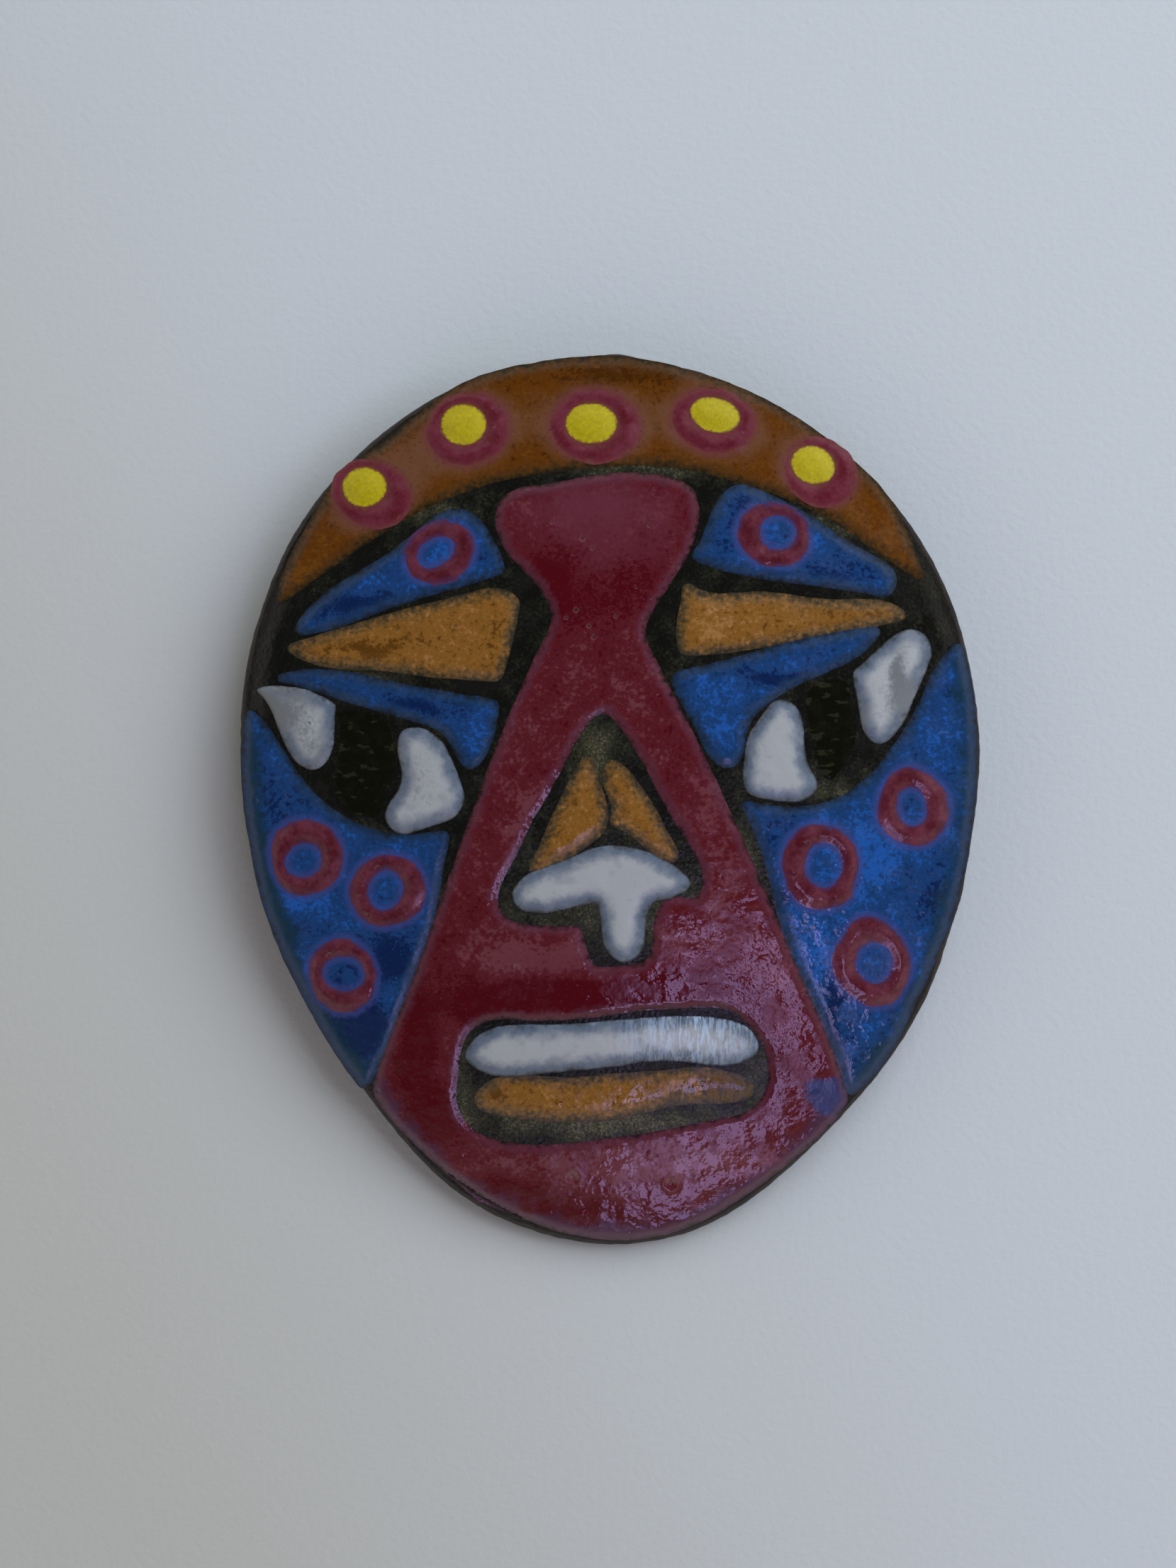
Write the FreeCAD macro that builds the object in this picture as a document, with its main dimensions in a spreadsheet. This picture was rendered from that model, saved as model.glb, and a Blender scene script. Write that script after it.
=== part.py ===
"""Enamelled copper mask brooch, lying face up on a table.

Millimetres. X is the viewer's right, Y runs from chin to forehead, Z is up.
The origin is under the middle of the brooch, on the table. A domed copper
blank carries a black ground coat and fields of coloured enamel, and a bar pin
is glued across its hollow back. The brooch rests on its chin and on the two
ends of the bar, so the dome's highest point, the pole, is over the bar
instead of over the middle of the blank.
"""

import FreeCAD, Part
import os

from FreeCAD import Placement, Rotation, Vector

doc = FreeCAD.newDocument("mask_brooch")
sheet = doc.addObject("Spreadsheet::Sheet", "sizes")

SIZES = {
    # Dome: spherical layers about one centre, far below the pole.
    "dome_radius": 105.0,       # outer face of the copper
    "pole_height": 5.75,        # inner face of the copper above the table
    "bar_y": 6.35,              # the pole and the bar, towards the forehead
    # Thicknesses, measured along the dome's radius, and the gap left between layers.
    "layer_gap": 0.01,
    "copper_gauge": 0.9,
    "ground_coat": 0.28,
    "counter_coat": 0.25,
    "field_coat": 0.22,
    "ring_coat": 0.12,
    "dot_coat": 0.26,
    "iris_coat": 0.12,
    "white_coat": 0.42,
    # Widths of bare metal left at the rim.
    "ground_margin": 0.3,
    "counter_margin": 1.5,
    # Bar plate of the pin finding.
    "bar_length": 27.0,
    "bar_width": 5.0,
    "bar_gauge": 0.8,
    "bar_bottom": 3.72,         # lower face of the plate above the table
    "bar_hole_radius": 1.0,
    "bar_hole_x": 5.5,
    # Hinge: two ears of the plate hold a rivet.
    "hinge_x": -11.3,
    "pin_height": 1.75,         # axis of the closed pin and of the rivet
    "ear_radius": 1.75,
    "ear_gauge": 0.6,
    "ear_gap": 1.24,
    "rivet_radius": 0.5,
    "rivet_head_radius": 0.85,
    "rivet_head": 0.3,
    "press_gap": 0.02,
    # Pin stem.
    "wire_radius": 0.42,
    "eye_radius": 1.15,
    "eye_width": 1.1,
    "eye_hole_radius": 0.55,
    "shoulder_height": 1.0,     # square end of the wire next to the eye
    "shoulder_reach": 2.4,      # where it ends, measured from the hinge
    "tip_x": 13.3,
    "taper": 4.3,
    # Catch: a fixed C-shaped housing with a turning sleeve inside.
    "catch_x": 9.6,             # end of the housing nearest the hinge
    "catch_length": 2.4,
    "catch_radius": 1.8,
    "catch_bore": 1.2,
    "catch_mouth": 1.2,
    "neck_width": 1.9,
    "sleeve_radius": 1.15,
    "sleeve_bore": 0.64,
    "sleeve_mouth": 1.14,
    "sleeve_gap": 0.05,
    "collar_radius": 1.4,
    "collar_width": 0.25,
    "head_radius": 1.55,
    "head_width": 0.7,
    "lever_reach": 2.7,
    "lever_width": 0.9,
    # Glue between the plate and the hollow back.
    "glue_margin": 0.8,
    "glue_lap": 0.4,
}
for row, (alias, value) in enumerate(SIZES.items(), start=1):
    cell = "A%d" % row
    sheet.set(cell, str(value))
    sheet.setAlias(cell, alias)
doc.recompute()

# Heights of the spherical faces, as expressions on the sheet.
COPPER_IN = "sizes.dome_radius - sizes.copper_gauge"
COPPER_OUT = "sizes.dome_radius"
COUNTER_OUT = COPPER_IN + " - sizes.layer_gap"
COUNTER_IN = COPPER_IN + " - sizes.counter_coat"
GLUE_OUT = COUNTER_IN + " - sizes.layer_gap"
GROUND_IN = COPPER_OUT + " + sizes.layer_gap"
GROUND_OUT = COPPER_OUT + " + sizes.ground_coat"
FIELD_IN = GROUND_OUT + " + sizes.layer_gap"
FIELD_OUT = GROUND_OUT + " + sizes.field_coat"
RING_IN = FIELD_OUT + " + sizes.layer_gap"
RING_OUT = FIELD_OUT + " + sizes.ring_coat"
DOT_OUT = FIELD_OUT + " + sizes.dot_coat"
IRIS_OUT = GROUND_OUT + " + sizes.iris_coat"
WHITE_OUT = GROUND_OUT + " + sizes.white_coat"
CENTRE_Z = "sizes.pole_height - (" + COPPER_IN + ")"

PRISM_BOTTOM = -2.0             # prisms cut the layers from below the table
PRISM_HEIGHT = 12.0             # to above the highest coat
INSET_POINTS = 72               # points of an outline that follows another one inside it

# Outlines seen from above. Each is a list of sides that meet in corners; a
# side is a smooth curve through its points, up to the next side's first one.
# An outline with one side is a smooth closed loop.
BLANK = [
    [(0.6, 27.78), (-3.0, 27.52), (-6.0, 26.97), (-9.2, 25.9), (-12.0, 24.4), (-15.0, 22.15),
     (-18.0, 18.98), (-20.0, 15.95), (-21.4, 12.7), (-22.4, 9.3), (-22.9, 6.0), (-22.97, 2.5),
     (-22.7, -1.2), (-21.9, -4.7), (-20.8, -8.2), (-19.35, -11.7), (-17.4, -15.1), (-15.0, -18.5),
     (-12.2, -22.0), (-8.8, -25.0), (-5.0, -26.85), (-1.0, -27.72), (2.5, -27.6), (6.2, -26.5),
     (10.0, -24.0), (13.8, -20.4), (17.3, -16.3)],
    [(20.4, -10.6)],
    [(21.95, -5.8), (22.7, -1.0), (23.0, 3.0), (22.6, 7.2), (21.3, 12.2), (19.0, 16.7)],
    [(16.3, 20.0), (13.4, 22.6), (9.5, 25.0)],
    [(5.5, 26.7)],
]
CROWN_BAND = [
    [(-20.5, 12.35), (-18.5, 13.75), (-15.9, 15.6), (-13.0, 17.4), (-9.0, 19.3), (-4.0, 20.5),
     (0.0, 20.85), (4.0, 20.8), (8.0, 19.85), (12.8, 18.05), (16.5, 15.65)],
    [(19.35, 13.75), (18.6, 15.8), (17.3, 18.45), (15.0, 20.95), (11.8, 23.4), (8.8, 25.1),
     (5.3, 26.4), (0.6, 27.35), (-4.5, 27.0), (-9.5, 25.5), (-11.7, 23.9), (-13.9, 22.1),
     (-16.4, 20.3), (-18.2, 17.7), (-19.7, 15.0)],
]
FACE_PANEL = [
    [(-6.9, 17.9), (-6.5, 15.9), (-5.2, 14.3), (-3.9, 12.8), (-3.45, 11.2), (-4.0, 9.8),
     (-5.6, 6.4), (-7.4, 2.0), (-9.0, -2.5), (-10.3, -6.0), (-12.25, -11.5), (-13.6, -14.7)],
    [(-14.65, -18.1), (-14.0, -19.1), (-11.5, -21.8), (-9.5, -23.5), (-6.0, -25.6), (-2.0, -27.0),
     (2.0, -27.2), (5.5, -26.2), (9.6, -23.6), (13.2, -20.5)],
    [(14.7, -18.6), (14.1, -16.5), (12.3, -12.2), (10.6, -8.3), (8.8, -4.1), (6.1, 1.9), (3.9, 6.3),
     (2.6, 8.8), (2.05, 10.5), (2.8, 12.3), (4.3, 14.6), (5.3, 17.2), (5.0, 19.2), (3.0, 20.0),
     (0.0, 20.1), (-4.5, 19.35), (-6.4, 18.8)],
]
NOSE_RECESS = [
    [(-0.9, 5.5), (-1.8, 4.4), (-3.5, 1.3), (-5.0, -1.3), (-6.3, -4.0), (-7.0, -5.4), (-6.8, -7.0),
     (-5.0, -7.8)],
    [(-2.0, -7.8), (-1.6, -9.0), (-1.0, -10.3), (0.5, -10.3), (2.4, -9.9), (2.8, -8.2), (3.2, -6.5)],
    [(5.2, -6.25), (5.9, -5.1), (5.5, -3.4), (4.3, -1.5), (1.9, 2.9), (0.8, 4.6), (0.2, 5.3)],
]
MOUTH_RECESS = [
    [(-9.7, -18.0), (-9.5, -16.2), (-8.9, -14.3), (-8.1, -13.65), (-5.0, -13.4), (-1.0, -13.2),
     (1.5, -12.85), (4.5, -12.65), (7.4, -12.8), (8.6, -13.7), (9.6, -15.0), (10.0, -16.6),
     (9.7, -18.3), (8.9, -19.2), (6.5, -19.95), (3.0, -20.65), (0.0, -21.1), (-5.0, -21.5),
     (-7.2, -21.2), (-8.8, -20.3), (-9.6, -19.1)],
]
FIELDS = {
    "amber_brow_left": [
        [(-19.9, 9.5), (-18.0, 10.05), (-13.5, 11.4), (-9.0, 12.55), (-6.5, 12.8)],
        [(-5.75, 12.3), (-6.1, 10.6), (-6.5, 8.9)],
        [(-6.9, 7.6), (-10.0, 7.8), (-14.5, 8.3), (-18.7, 8.85)],
    ],
    "amber_brow_right": [
        [(4.7, 13.3), (5.7, 12.75), (9.0, 12.7), (14.0, 12.2), (17.4, 12.0)],
        [(18.2, 11.45), (16.5, 11.1), (12.0, 10.2), (8.0, 9.5)],
        [(4.5, 9.2), (4.3, 10.2), (4.45, 11.6)],
    ],
    "brow_field_left": [
        [(-19.4, 10.5), (-17.5, 10.75), (-14.0, 12.0), (-10.0, 13.2)],
        [(-6.6, 14.25), (-7.1, 15.5), (-8.0, 17.0), (-9.3, 17.9), (-11.0, 17.2), (-13.0, 15.6),
         (-16.0, 13.7), (-17.9, 12.4)],
    ],
    "brow_field_right": [
        [(5.1, 15.1), (9.0, 14.0), (13.5, 13.4)],
        [(17.1, 12.8), (17.6, 13.7), (15.5, 15.4), (13.0, 17.0), (11.0, 18.2)],
        [(8.2, 19.45), (6.9, 18.6), (6.1, 16.8)],
    ],
    "lid_left": [
        [(-20.6, 7.6), (-17.5, 7.95), (-13.0, 7.1), (-10.0, 6.55)],
        [(-7.0, 6.1), (-7.2, 4.6), (-7.9, 2.8), (-8.6, 2.1), (-9.3, 2.9), (-10.3, 4.4), (-12.0, 5.1),
         (-14.0, 5.7), (-16.0, 6.25), (-18.0, 6.95)],
    ],
    "lid_right": [
        [(4.0, 7.8), (4.3, 6.6), (5.3, 4.9), (6.3, 2.9), (7.2, 2.2), (7.9, 2.7), (8.2, 4.3),
         (9.8, 6.3), (12.3, 7.75), (15.5, 9.3)],
        [(16.6, 10.6), (14.0, 10.3), (9.2, 9.1)],
    ],
    "cheek_left": [
        [(-22.35, 5.6), (-20.9, 3.9), (-19.2, 1.3), (-16.9, -0.85), (-14.0, -2.1), (-12.0, -2.2)],
        [(-10.05, -1.95), (-10.4, -3.7), (-11.1, -7.4), (-12.8, -12.1), (-14.2, -15.8)],
        [(-15.3, -17.85), (-16.3, -16.5), (-18.9, -12.1), (-20.9, -7.7), (-22.1, -3.0), (-22.6, 1.5)],
    ],
    "cheek_right": [
        [(21.6, 9.7), (20.5, 8.5), (19.3, 6.0), (17.8, 3.5), (16.0, 1.3), (14.3, 0.1), (12.2, -0.5)],
        [(8.2, -0.1), (9.9, -4.4), (10.95, -8.4), (12.6, -12.2), (14.1, -15.8)],
        [(14.95, -18.2), (16.9, -16.2), (18.9, -12.3), (20.8, -8.0), (22.1, -2.5), (22.55, 3.5),
         (22.15, 7.5)],
    ],
    "nose_amber_left": [
        [(-1.3, 2.6), (-0.85, 0.6), (-0.6, -1.5)],
        [(-0.95, -1.95), (-2.9, -3.3)],
        [(-4.7, -4.3), (-3.5, -1.7), (-2.0, 1.4)],
    ],
    "nose_amber_right": [
        [(0.2, 2.3), (0.9, 1.6), (2.6, -0.9)],
        [(3.95, -3.45), (2.4, -2.6), (1.0, -1.5)],
        [(0.25, -1.25), (0.2, 0.5), (-0.1, 1.7)],
    ],
    "lip_lower": [
        [(-8.1, -18.4), (-7.4, -17.75), (-3.5, -17.5), (0.0, -17.3), (4.0, -17.0), (7.5, -17.2),
         (8.7, -17.9), (7.6, -18.3), (4.5, -18.45), (0.0, -19.45), (-4.0, -19.5), (-7.0, -19.1)],
    ],
}
WHITES = {
    "eye_white_outer_left": [
        [(-21.9, 6.9), (-20.0, 7.05), (-18.0, 6.5)],
        [(-17.0, 5.95), (-17.1, 4.2), (-17.7, 2.35), (-18.4, 2.0), (-19.2, 2.35), (-20.3, 4.15)],
    ],
    "eye_white_inner_left": [
        [(-12.3, 4.5), (-11.2, 4.25), (-10.2, 3.3), (-9.5, 1.7), (-9.1, -0.1), (-9.9, -1.1),
         (-11.3, -1.55), (-13.1, -1.9), (-13.85, -0.9), (-13.1, 0.5), (-12.8, 2.0), (-13.0, 3.9)],
    ],
    "eye_white_inner_right": [
        [(10.6, 6.2), (11.5, 5.7), (11.9, 3.7), (12.3, 2.0), (12.7, 0.9), (12.0, 0.15), (10.0, 0.15),
         (8.5, 0.6), (8.3, 2.2), (8.6, 4.0), (9.5, 5.4)],
    ],
    "eye_white_outer_right": [
        [(15.2, 8.1), (17.1, 9.8), (18.9, 10.55), (19.7, 9.9), (19.4, 7.9), (18.4, 5.6), (17.4, 4.0),
         (16.6, 3.6), (15.8, 4.2), (15.4, 6.1)],
    ],
    "nose_base": [
        [(-6.0, -5.7), (-5.0, -4.55), (-3.0, -3.8), (-1.0, -2.95), (0.5, -2.8), (2.0, -3.1),
         (4.0, -4.1)],
        [(4.95, -5.0), (3.9, -5.85), (2.6, -6.3), (2.1, -7.5), (1.95, -9.1), (0.9, -9.9), (-0.2, -9.1),
         (-0.5, -7.6)],
        [(-0.75, -6.3), (-2.4, -6.5), (-4.6, -6.85), (-5.7, -6.45)],
    ],
    "lip_upper": [
        [(-8.9, -15.6), (-7.9, -14.4), (-4.5, -13.9), (0.0, -13.65), (4.0, -13.4), (7.2, -13.6),
         (8.8, -14.4), (9.15, -15.4), (8.2, -16.1), (4.0, -16.0), (0.0, -16.4), (-4.0, -16.8),
         (-7.4, -16.9), (-8.6, -16.3)],
    ],
}
IRISES = {
    "iris_left": [
        [(-16.75, 5.75), (-15.6, 5.8), (-13.7, 5.1), (-13.25, 4.0), (-13.1, 2.0), (-13.65, 0.4),
         (-14.25, -1.1), (-15.6, -1.0), (-16.9, -0.1), (-17.35, 1.6), (-16.9, 3.8)],
    ],
    "iris_right": [
        [(12.0, 6.8), (13.4, 7.7), (14.8, 7.5), (15.05, 6.0), (15.4, 4.1), (14.9, 2.7), (13.4, 1.1),
         (12.85, 1.8), (12.4, 3.2), (12.0, 5.2)],
    ],
}
# Each ring: its outer loop, then the ellipse of its hole (centre, radii, tilt in degrees).
RINGS = {
    "brow_ring_left": (
        [(-8.4, 16.2), (-9.4, 17.2), (-11.0, 17.2), (-12.5, 16.0), (-12.7, 14.6), (-11.6, 13.5),
         (-9.6, 13.6), (-8.5, 14.8)],
        (-10.75, 15.4, 1.2, 0.8, 30.0)),
    "brow_ring_right": (
        [(12.4, 16.5), (11.6, 17.9), (9.7, 18.5), (8.1, 17.7), (7.75, 16.4), (8.6, 14.95),
         (10.6, 14.4), (12.0, 15.1)],
        (10.4, 16.6, 1.05, 1.0, 0.0)),
    "cheek_ring_left_1": (
        [(-16.4, -3.1), (-17.5, -1.5), (-19.4, -1.1), (-20.8, -2.0), (-20.95, -4.2), (-19.7, -5.85),
         (-17.6, -5.5), (-16.5, -4.2)],
        (-18.95, -3.65, 1.1, 0.95, 35.0)),
    "cheek_ring_left_2": (
        [(-11.3, -5.3), (-12.2, -3.7), (-14.1, -3.25), (-15.8, -4.3), (-16.1, -6.4), (-14.8, -7.7),
         (-13.0, -7.65), (-11.7, -6.8)],
        (-13.9, -5.5, 1.0, 1.2, -20.0)),
    "cheek_ring_left_3": (
        [(-14.4, -10.9), (-15.0, -9.3), (-16.7, -8.4), (-18.4, -9.4), (-18.7, -11.3), (-17.6, -12.9),
         (-16.2, -13.2), (-14.8, -12.3)],
        (-16.5, -10.7, 1.3, 1.0, -10.0)),
    "cheek_ring_right_1": (
        [(15.4, -4.3), (14.6, -2.0), (12.4, -1.35), (10.9, -2.4), (10.6, -4.4), (11.5, -6.3),
         (13.2, -6.75), (14.9, -6.1)],
        (13.2, -3.95, 1.1, 1.3, 0.0)),
    "cheek_ring_right_2": (
        [(21.1, -0.5), (20.1, 1.5), (18.2, 2.2), (16.8, 0.9), (16.4, -0.7), (17.0, -2.0),
         (18.7, -2.85), (20.6, -2.0)],
        (18.7, -0.35, 0.85, 1.15, 10.0)),
    "cheek_ring_right_3": (
        [(18.7, -9.6), (17.4, -7.7), (15.9, -7.0), (14.3, -8.3), (13.7, -10.2), (14.8, -12.1),
         (16.9, -12.85), (18.3, -11.8)],
        (16.4, -10.0, 1.1, 1.2, 0.0)),
}
# Each crown spot: the ring's ellipse, then the dot's (centre, radii, tilt in degrees).
CROWN_SPOTS = [
    ((-14.75, 19.0, 2.55, 2.1, -20.0), (-15.2, 19.45, 1.4, 1.25, 0.0)),
    ((-8.8, 23.0, 2.65, 2.3, 15.0), (-9.05, 23.3, 1.42, 1.3, 0.0)),
    ((-0.9, 23.2, 2.85, 2.35, 0.0), (-1.15, 23.35, 1.62, 1.28, 0.0)),
    ((6.4, 23.5, 2.65, 2.05, -12.0), (6.5, 23.9, 1.58, 1.1, -14.0)),
    ((13.0, 20.35, 2.4, 2.1, -35.0), (12.55, 20.8, 1.42, 1.18, -20.0)),
]

subparts = []


def keep(obj, label):
    """Name a finished sub-part and put it on the list that is written out."""
    obj.Label = label
    subparts.append(obj)
    return obj


def loop(sides):
    """Closed wire through the points of an outline."""
    if len(sides) == 1:
        curve = Part.BSplineCurve()
        curve.interpolate([Vector(x, y, 0) for x, y in sides[0]], PeriodicFlag=True)
        return Part.Wire([curve.toShape()])
    edges = []
    for side, following in zip(sides, sides[1:] + sides[:1]):
        points = [Vector(x, y, 0) for x, y in side + following[:1]]
        if len(points) == 2:
            edges.append(Part.LineSegment(points[0], points[1]).toShape())
            continue
        curve = Part.BSplineCurve()
        curve.interpolate(points)
        edges.append(curve.toShape())
    return Part.Wire(edges)


def ellipse(centre_x, centre_y, radius_x, radius_y, tilt):
    """Closed elliptical wire, its own X axis turned by tilt degrees."""
    major = max(radius_x, radius_y)
    minor = min(radius_x, radius_y)
    quarter = 0.0 if radius_x >= radius_y else 90.0
    wire = Part.Wire([Part.Ellipse(Vector(0, 0, 0), major, minor).toShape()])
    wire.Placement = Placement(Vector(centre_x, centre_y, 0), Rotation(Vector(0, 0, 1), tilt + quarter))
    return wire


def prism(name, wire):
    """Upright solid on an outline, tall enough to cross every layer of the dome."""
    outline = doc.addObject("Part::Feature", name + "_outline")
    outline.Shape = wire
    outline.Placement = Placement(Vector(0, 0, PRISM_BOTTOM), Rotation()).multiply(wire.Placement)
    solid = doc.addObject("Part::Extrusion", name + "_prism")
    solid.Base = outline
    solid.DirMode = "Custom"
    solid.Dir = Vector(0, 0, 1)
    solid.LengthFwd = PRISM_HEIGHT
    solid.Solid = True
    return solid


def ball(name, radius):
    """Ball about the dome's centre. Its axis lies along X, so the cap has no seam or pole in it."""
    obj = doc.addObject("Part::Sphere", name)
    obj.setExpression("Radius", radius)
    obj.Placement = Placement(Vector(0, 0, 0), Rotation(Vector(0, 1, 0), 90))
    obj.setExpression("Placement.Base.y", "sizes.bar_y")
    obj.setExpression("Placement.Base.z", CENTRE_Z)
    return obj


def boolean(kind, name, base, tool):
    obj = doc.addObject("Part::" + kind, name)
    obj.Base = base
    obj.Tool = tool
    return obj


def fused(name, shapes):
    obj = doc.addObject("Part::MultiFuse", name)
    obj.Shapes = shapes
    return obj


def box(name, length, width, height, corner):
    """Box with its sizes and its lowest corner given as expressions."""
    obj = doc.addObject("Part::Box", name)
    for size, text in zip(("Length", "Width", "Height"), (length, width, height)):
        obj.setExpression(size, text)
    for axis, text in zip("xyz", corner):
        obj.setExpression("Placement.Base." + axis, text)
    return obj


def cylinder(name, radius, height, start, direction):
    """Cylinder with its sizes and the middle of its first face given as expressions."""
    obj = doc.addObject("Part::Cylinder", name)
    obj.setExpression("Radius", radius)
    obj.setExpression("Height", height)
    obj.Placement = Placement(Vector(0, 0, 0), Rotation(Vector(0, 0, 1), direction))
    for axis, text in zip("xyz", start):
        obj.setExpression("Placement.Base." + axis, text)
    return obj


balls = {}


def shell(name, inner, outer):
    """Layer between two spherical faces."""
    for radius in (inner, outer):
        if radius not in balls:
            balls[radius] = ball("ball_%d" % (len(balls) + 1), radius)
    return boolean("Cut", name, balls[outer], balls[inner])


def enamel(label, prism_solid, layer):
    """Patch of one layer under an outline, as a finished sub-part."""
    return keep(boolean("Common", label + "_coat", prism_solid, layer), label)


def inset(name, wire, margin):
    """Prism on a smooth outline that runs a margin inside another one."""
    narrowed = Part.Face(wire).makeOffset2D(-margin).Wires[0]
    points = narrowed.discretize(Number=INSET_POINTS + 1)[:-1]
    return prism(name, loop([[(point.x, point.y) for point in points]]))


# Dome: copper, black ground coat on the front, counter enamel on the back.
blank_wire = loop(BLANK)
copper_layer = shell("copper_layer", COPPER_IN, COPPER_OUT)
ground_layer = shell("ground_layer", GROUND_IN, GROUND_OUT)
counter_layer = shell("counter_layer", COUNTER_IN, COUNTER_OUT)
field_layer = shell("field_layer", FIELD_IN, FIELD_OUT)
ring_layer = shell("ring_layer", RING_IN, RING_OUT)
dot_layer = shell("dot_layer", RING_IN, DOT_OUT)
iris_layer = shell("iris_layer", FIELD_IN, IRIS_OUT)
white_layer = shell("white_layer", FIELD_IN, WHITE_OUT)

copper_base = enamel("copper_base", prism("copper_base", blank_wire), copper_layer)
ground_prism = inset("base_enamel", blank_wire, SIZES["ground_margin"])
enamel("base_enamel", ground_prism, ground_layer)
counter_prism = inset("counter_enamel", blank_wire, SIZES["counter_margin"])
enamel("counter_enamel", counter_prism, counter_layer)

# Face: the red panel is left open at the nose and the mouth, where the ground shows.
recesses = fused("face_recesses", [
    prism("nose_recess", loop(NOSE_RECESS)),
    prism("mouth_recess", loop(MOUTH_RECESS)),
])
face_prism = boolean("Cut", "face_panel_open", prism("face_panel", loop(FACE_PANEL)), recesses)
enamel("face_panel", face_prism, field_layer)
enamel("crown_band", prism("crown_band", loop(CROWN_BAND)), field_layer)
for group, layer in ((FIELDS, field_layer), (WHITES, white_layer), (IRISES, iris_layer)):
    for label, sides in group.items():
        enamel(label, prism(label, loop(sides)), layer)

# Rings and dots lie on the fields.
for label, (outer, hole) in RINGS.items():
    hole_prism = prism(label + "_hole", ellipse(*hole))
    ring_prism = boolean("Cut", label + "_open", prism(label, loop([outer])), hole_prism)
    enamel(label, ring_prism, ring_layer)
for number, (ring, dot) in enumerate(CROWN_SPOTS, start=1):
    dot_prism = prism("crown_dot_%d" % number, ellipse(*dot))
    name = "crown_ring_%d" % number
    ring_prism = boolean("Cut", name + "_open", prism(name, ellipse(*ring)), dot_prism)
    enamel(name, ring_prism, ring_layer)
    enamel("crown_dot_%d" % number, dot_prism, dot_layer)

# Bar plate: a round-ended strip with two glue holes and a pair of ears for the hinge.
HALF_WIDTH = "sizes.bar_width / 2"
BAR_Y = "sizes.bar_y"
STRAIGHT = "sizes.bar_length - sizes.bar_width"
UP = Vector(0, 0, 1)
ALONG_X = Vector(1, 0, 0)
ALONG_Y = Vector(0, 1, 0)


def strip(name, margin, bottom, height):
    """Round-ended strip along X over the bar, wider than the bar by a margin all round."""
    half = "(%s + %s)" % (HALF_WIDTH, margin)
    middle = box(name + "_middle", STRAIGHT, "2 * " + half, height,
                 ("-(%s) / 2" % STRAIGHT, "%s - %s" % (BAR_Y, half), bottom))
    ends = [
        cylinder("%s_end_%s" % (name, side), half, height,
                 ("%s(%s) / 2" % (sign, STRAIGHT), BAR_Y, bottom), UP)
        for side, sign in (("left", "-"), ("right", ""))
    ]
    return fused(name, [middle] + ends)


def ear(side, inner_y):
    """Ear with a round foot, bent down from the plate beside the hinge's middle."""
    tab = box("ear_%s_tab" % side, "2 * sizes.ear_radius", "sizes.ear_gauge",
              "sizes.bar_bottom - sizes.pin_height + sizes.bar_gauge / 2",
              ("sizes.hinge_x - sizes.ear_radius", inner_y, "sizes.pin_height"))
    foot = cylinder("ear_%s_foot" % side, "sizes.ear_radius", "sizes.ear_gauge",
                    ("sizes.hinge_x", inner_y, "sizes.pin_height"), ALONG_Y)
    return [tab, foot]


plate = strip("plate_strip", "0", "sizes.bar_bottom", "sizes.bar_gauge")
glue_holes = [
    cylinder("plate_hole_" + side, "sizes.bar_hole_radius", "sizes.bar_gauge",
             (sign + "sizes.bar_hole_x", BAR_Y, "sizes.bar_bottom"), UP)
    for side, sign in (("left", "-"), ("right", ""))
]
rivet_hole = cylinder("ear_hole", "sizes.rivet_radius + sizes.press_gap", "sizes.bar_width",
                      ("sizes.hinge_x", BAR_Y + " - " + HALF_WIDTH, "sizes.pin_height"), ALONG_Y)
plate_blank = fused("plate_blank", [plate]
                    + ear("front", BAR_Y + " - sizes.ear_gap / 2 - sizes.ear_gauge")
                    + ear("back", BAR_Y + " + sizes.ear_gap / 2"))
bar_plate = keep(boolean("Cut", "plate_pierced", plate_blank,
                         fused("plate_holes", glue_holes + [rivet_hole])), "bar_plate")

# Rivet: a shank through both ears, with a head outside each.
SHANK = "sizes.ear_gap + 2 * sizes.ear_gauge"
shank_start = BAR_Y + " - sizes.ear_gap / 2 - sizes.ear_gauge"
rivet = fused("rivet", [
    cylinder("rivet_shank", "sizes.rivet_radius", SHANK + " + 2 * sizes.rivet_head",
             ("sizes.hinge_x", shank_start + " - sizes.rivet_head", "sizes.pin_height"), ALONG_Y),
    cylinder("rivet_head_front", "sizes.rivet_head_radius", "sizes.rivet_head",
             ("sizes.hinge_x", shank_start + " - sizes.rivet_head", "sizes.pin_height"), ALONG_Y),
    cylinder("rivet_head_back", "sizes.rivet_head_radius", "sizes.rivet_head",
             ("sizes.hinge_x", shank_start + " + " + SHANK, "sizes.pin_height"), ALONG_Y),
])
keep(rivet, "hinge_rivet")

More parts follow.
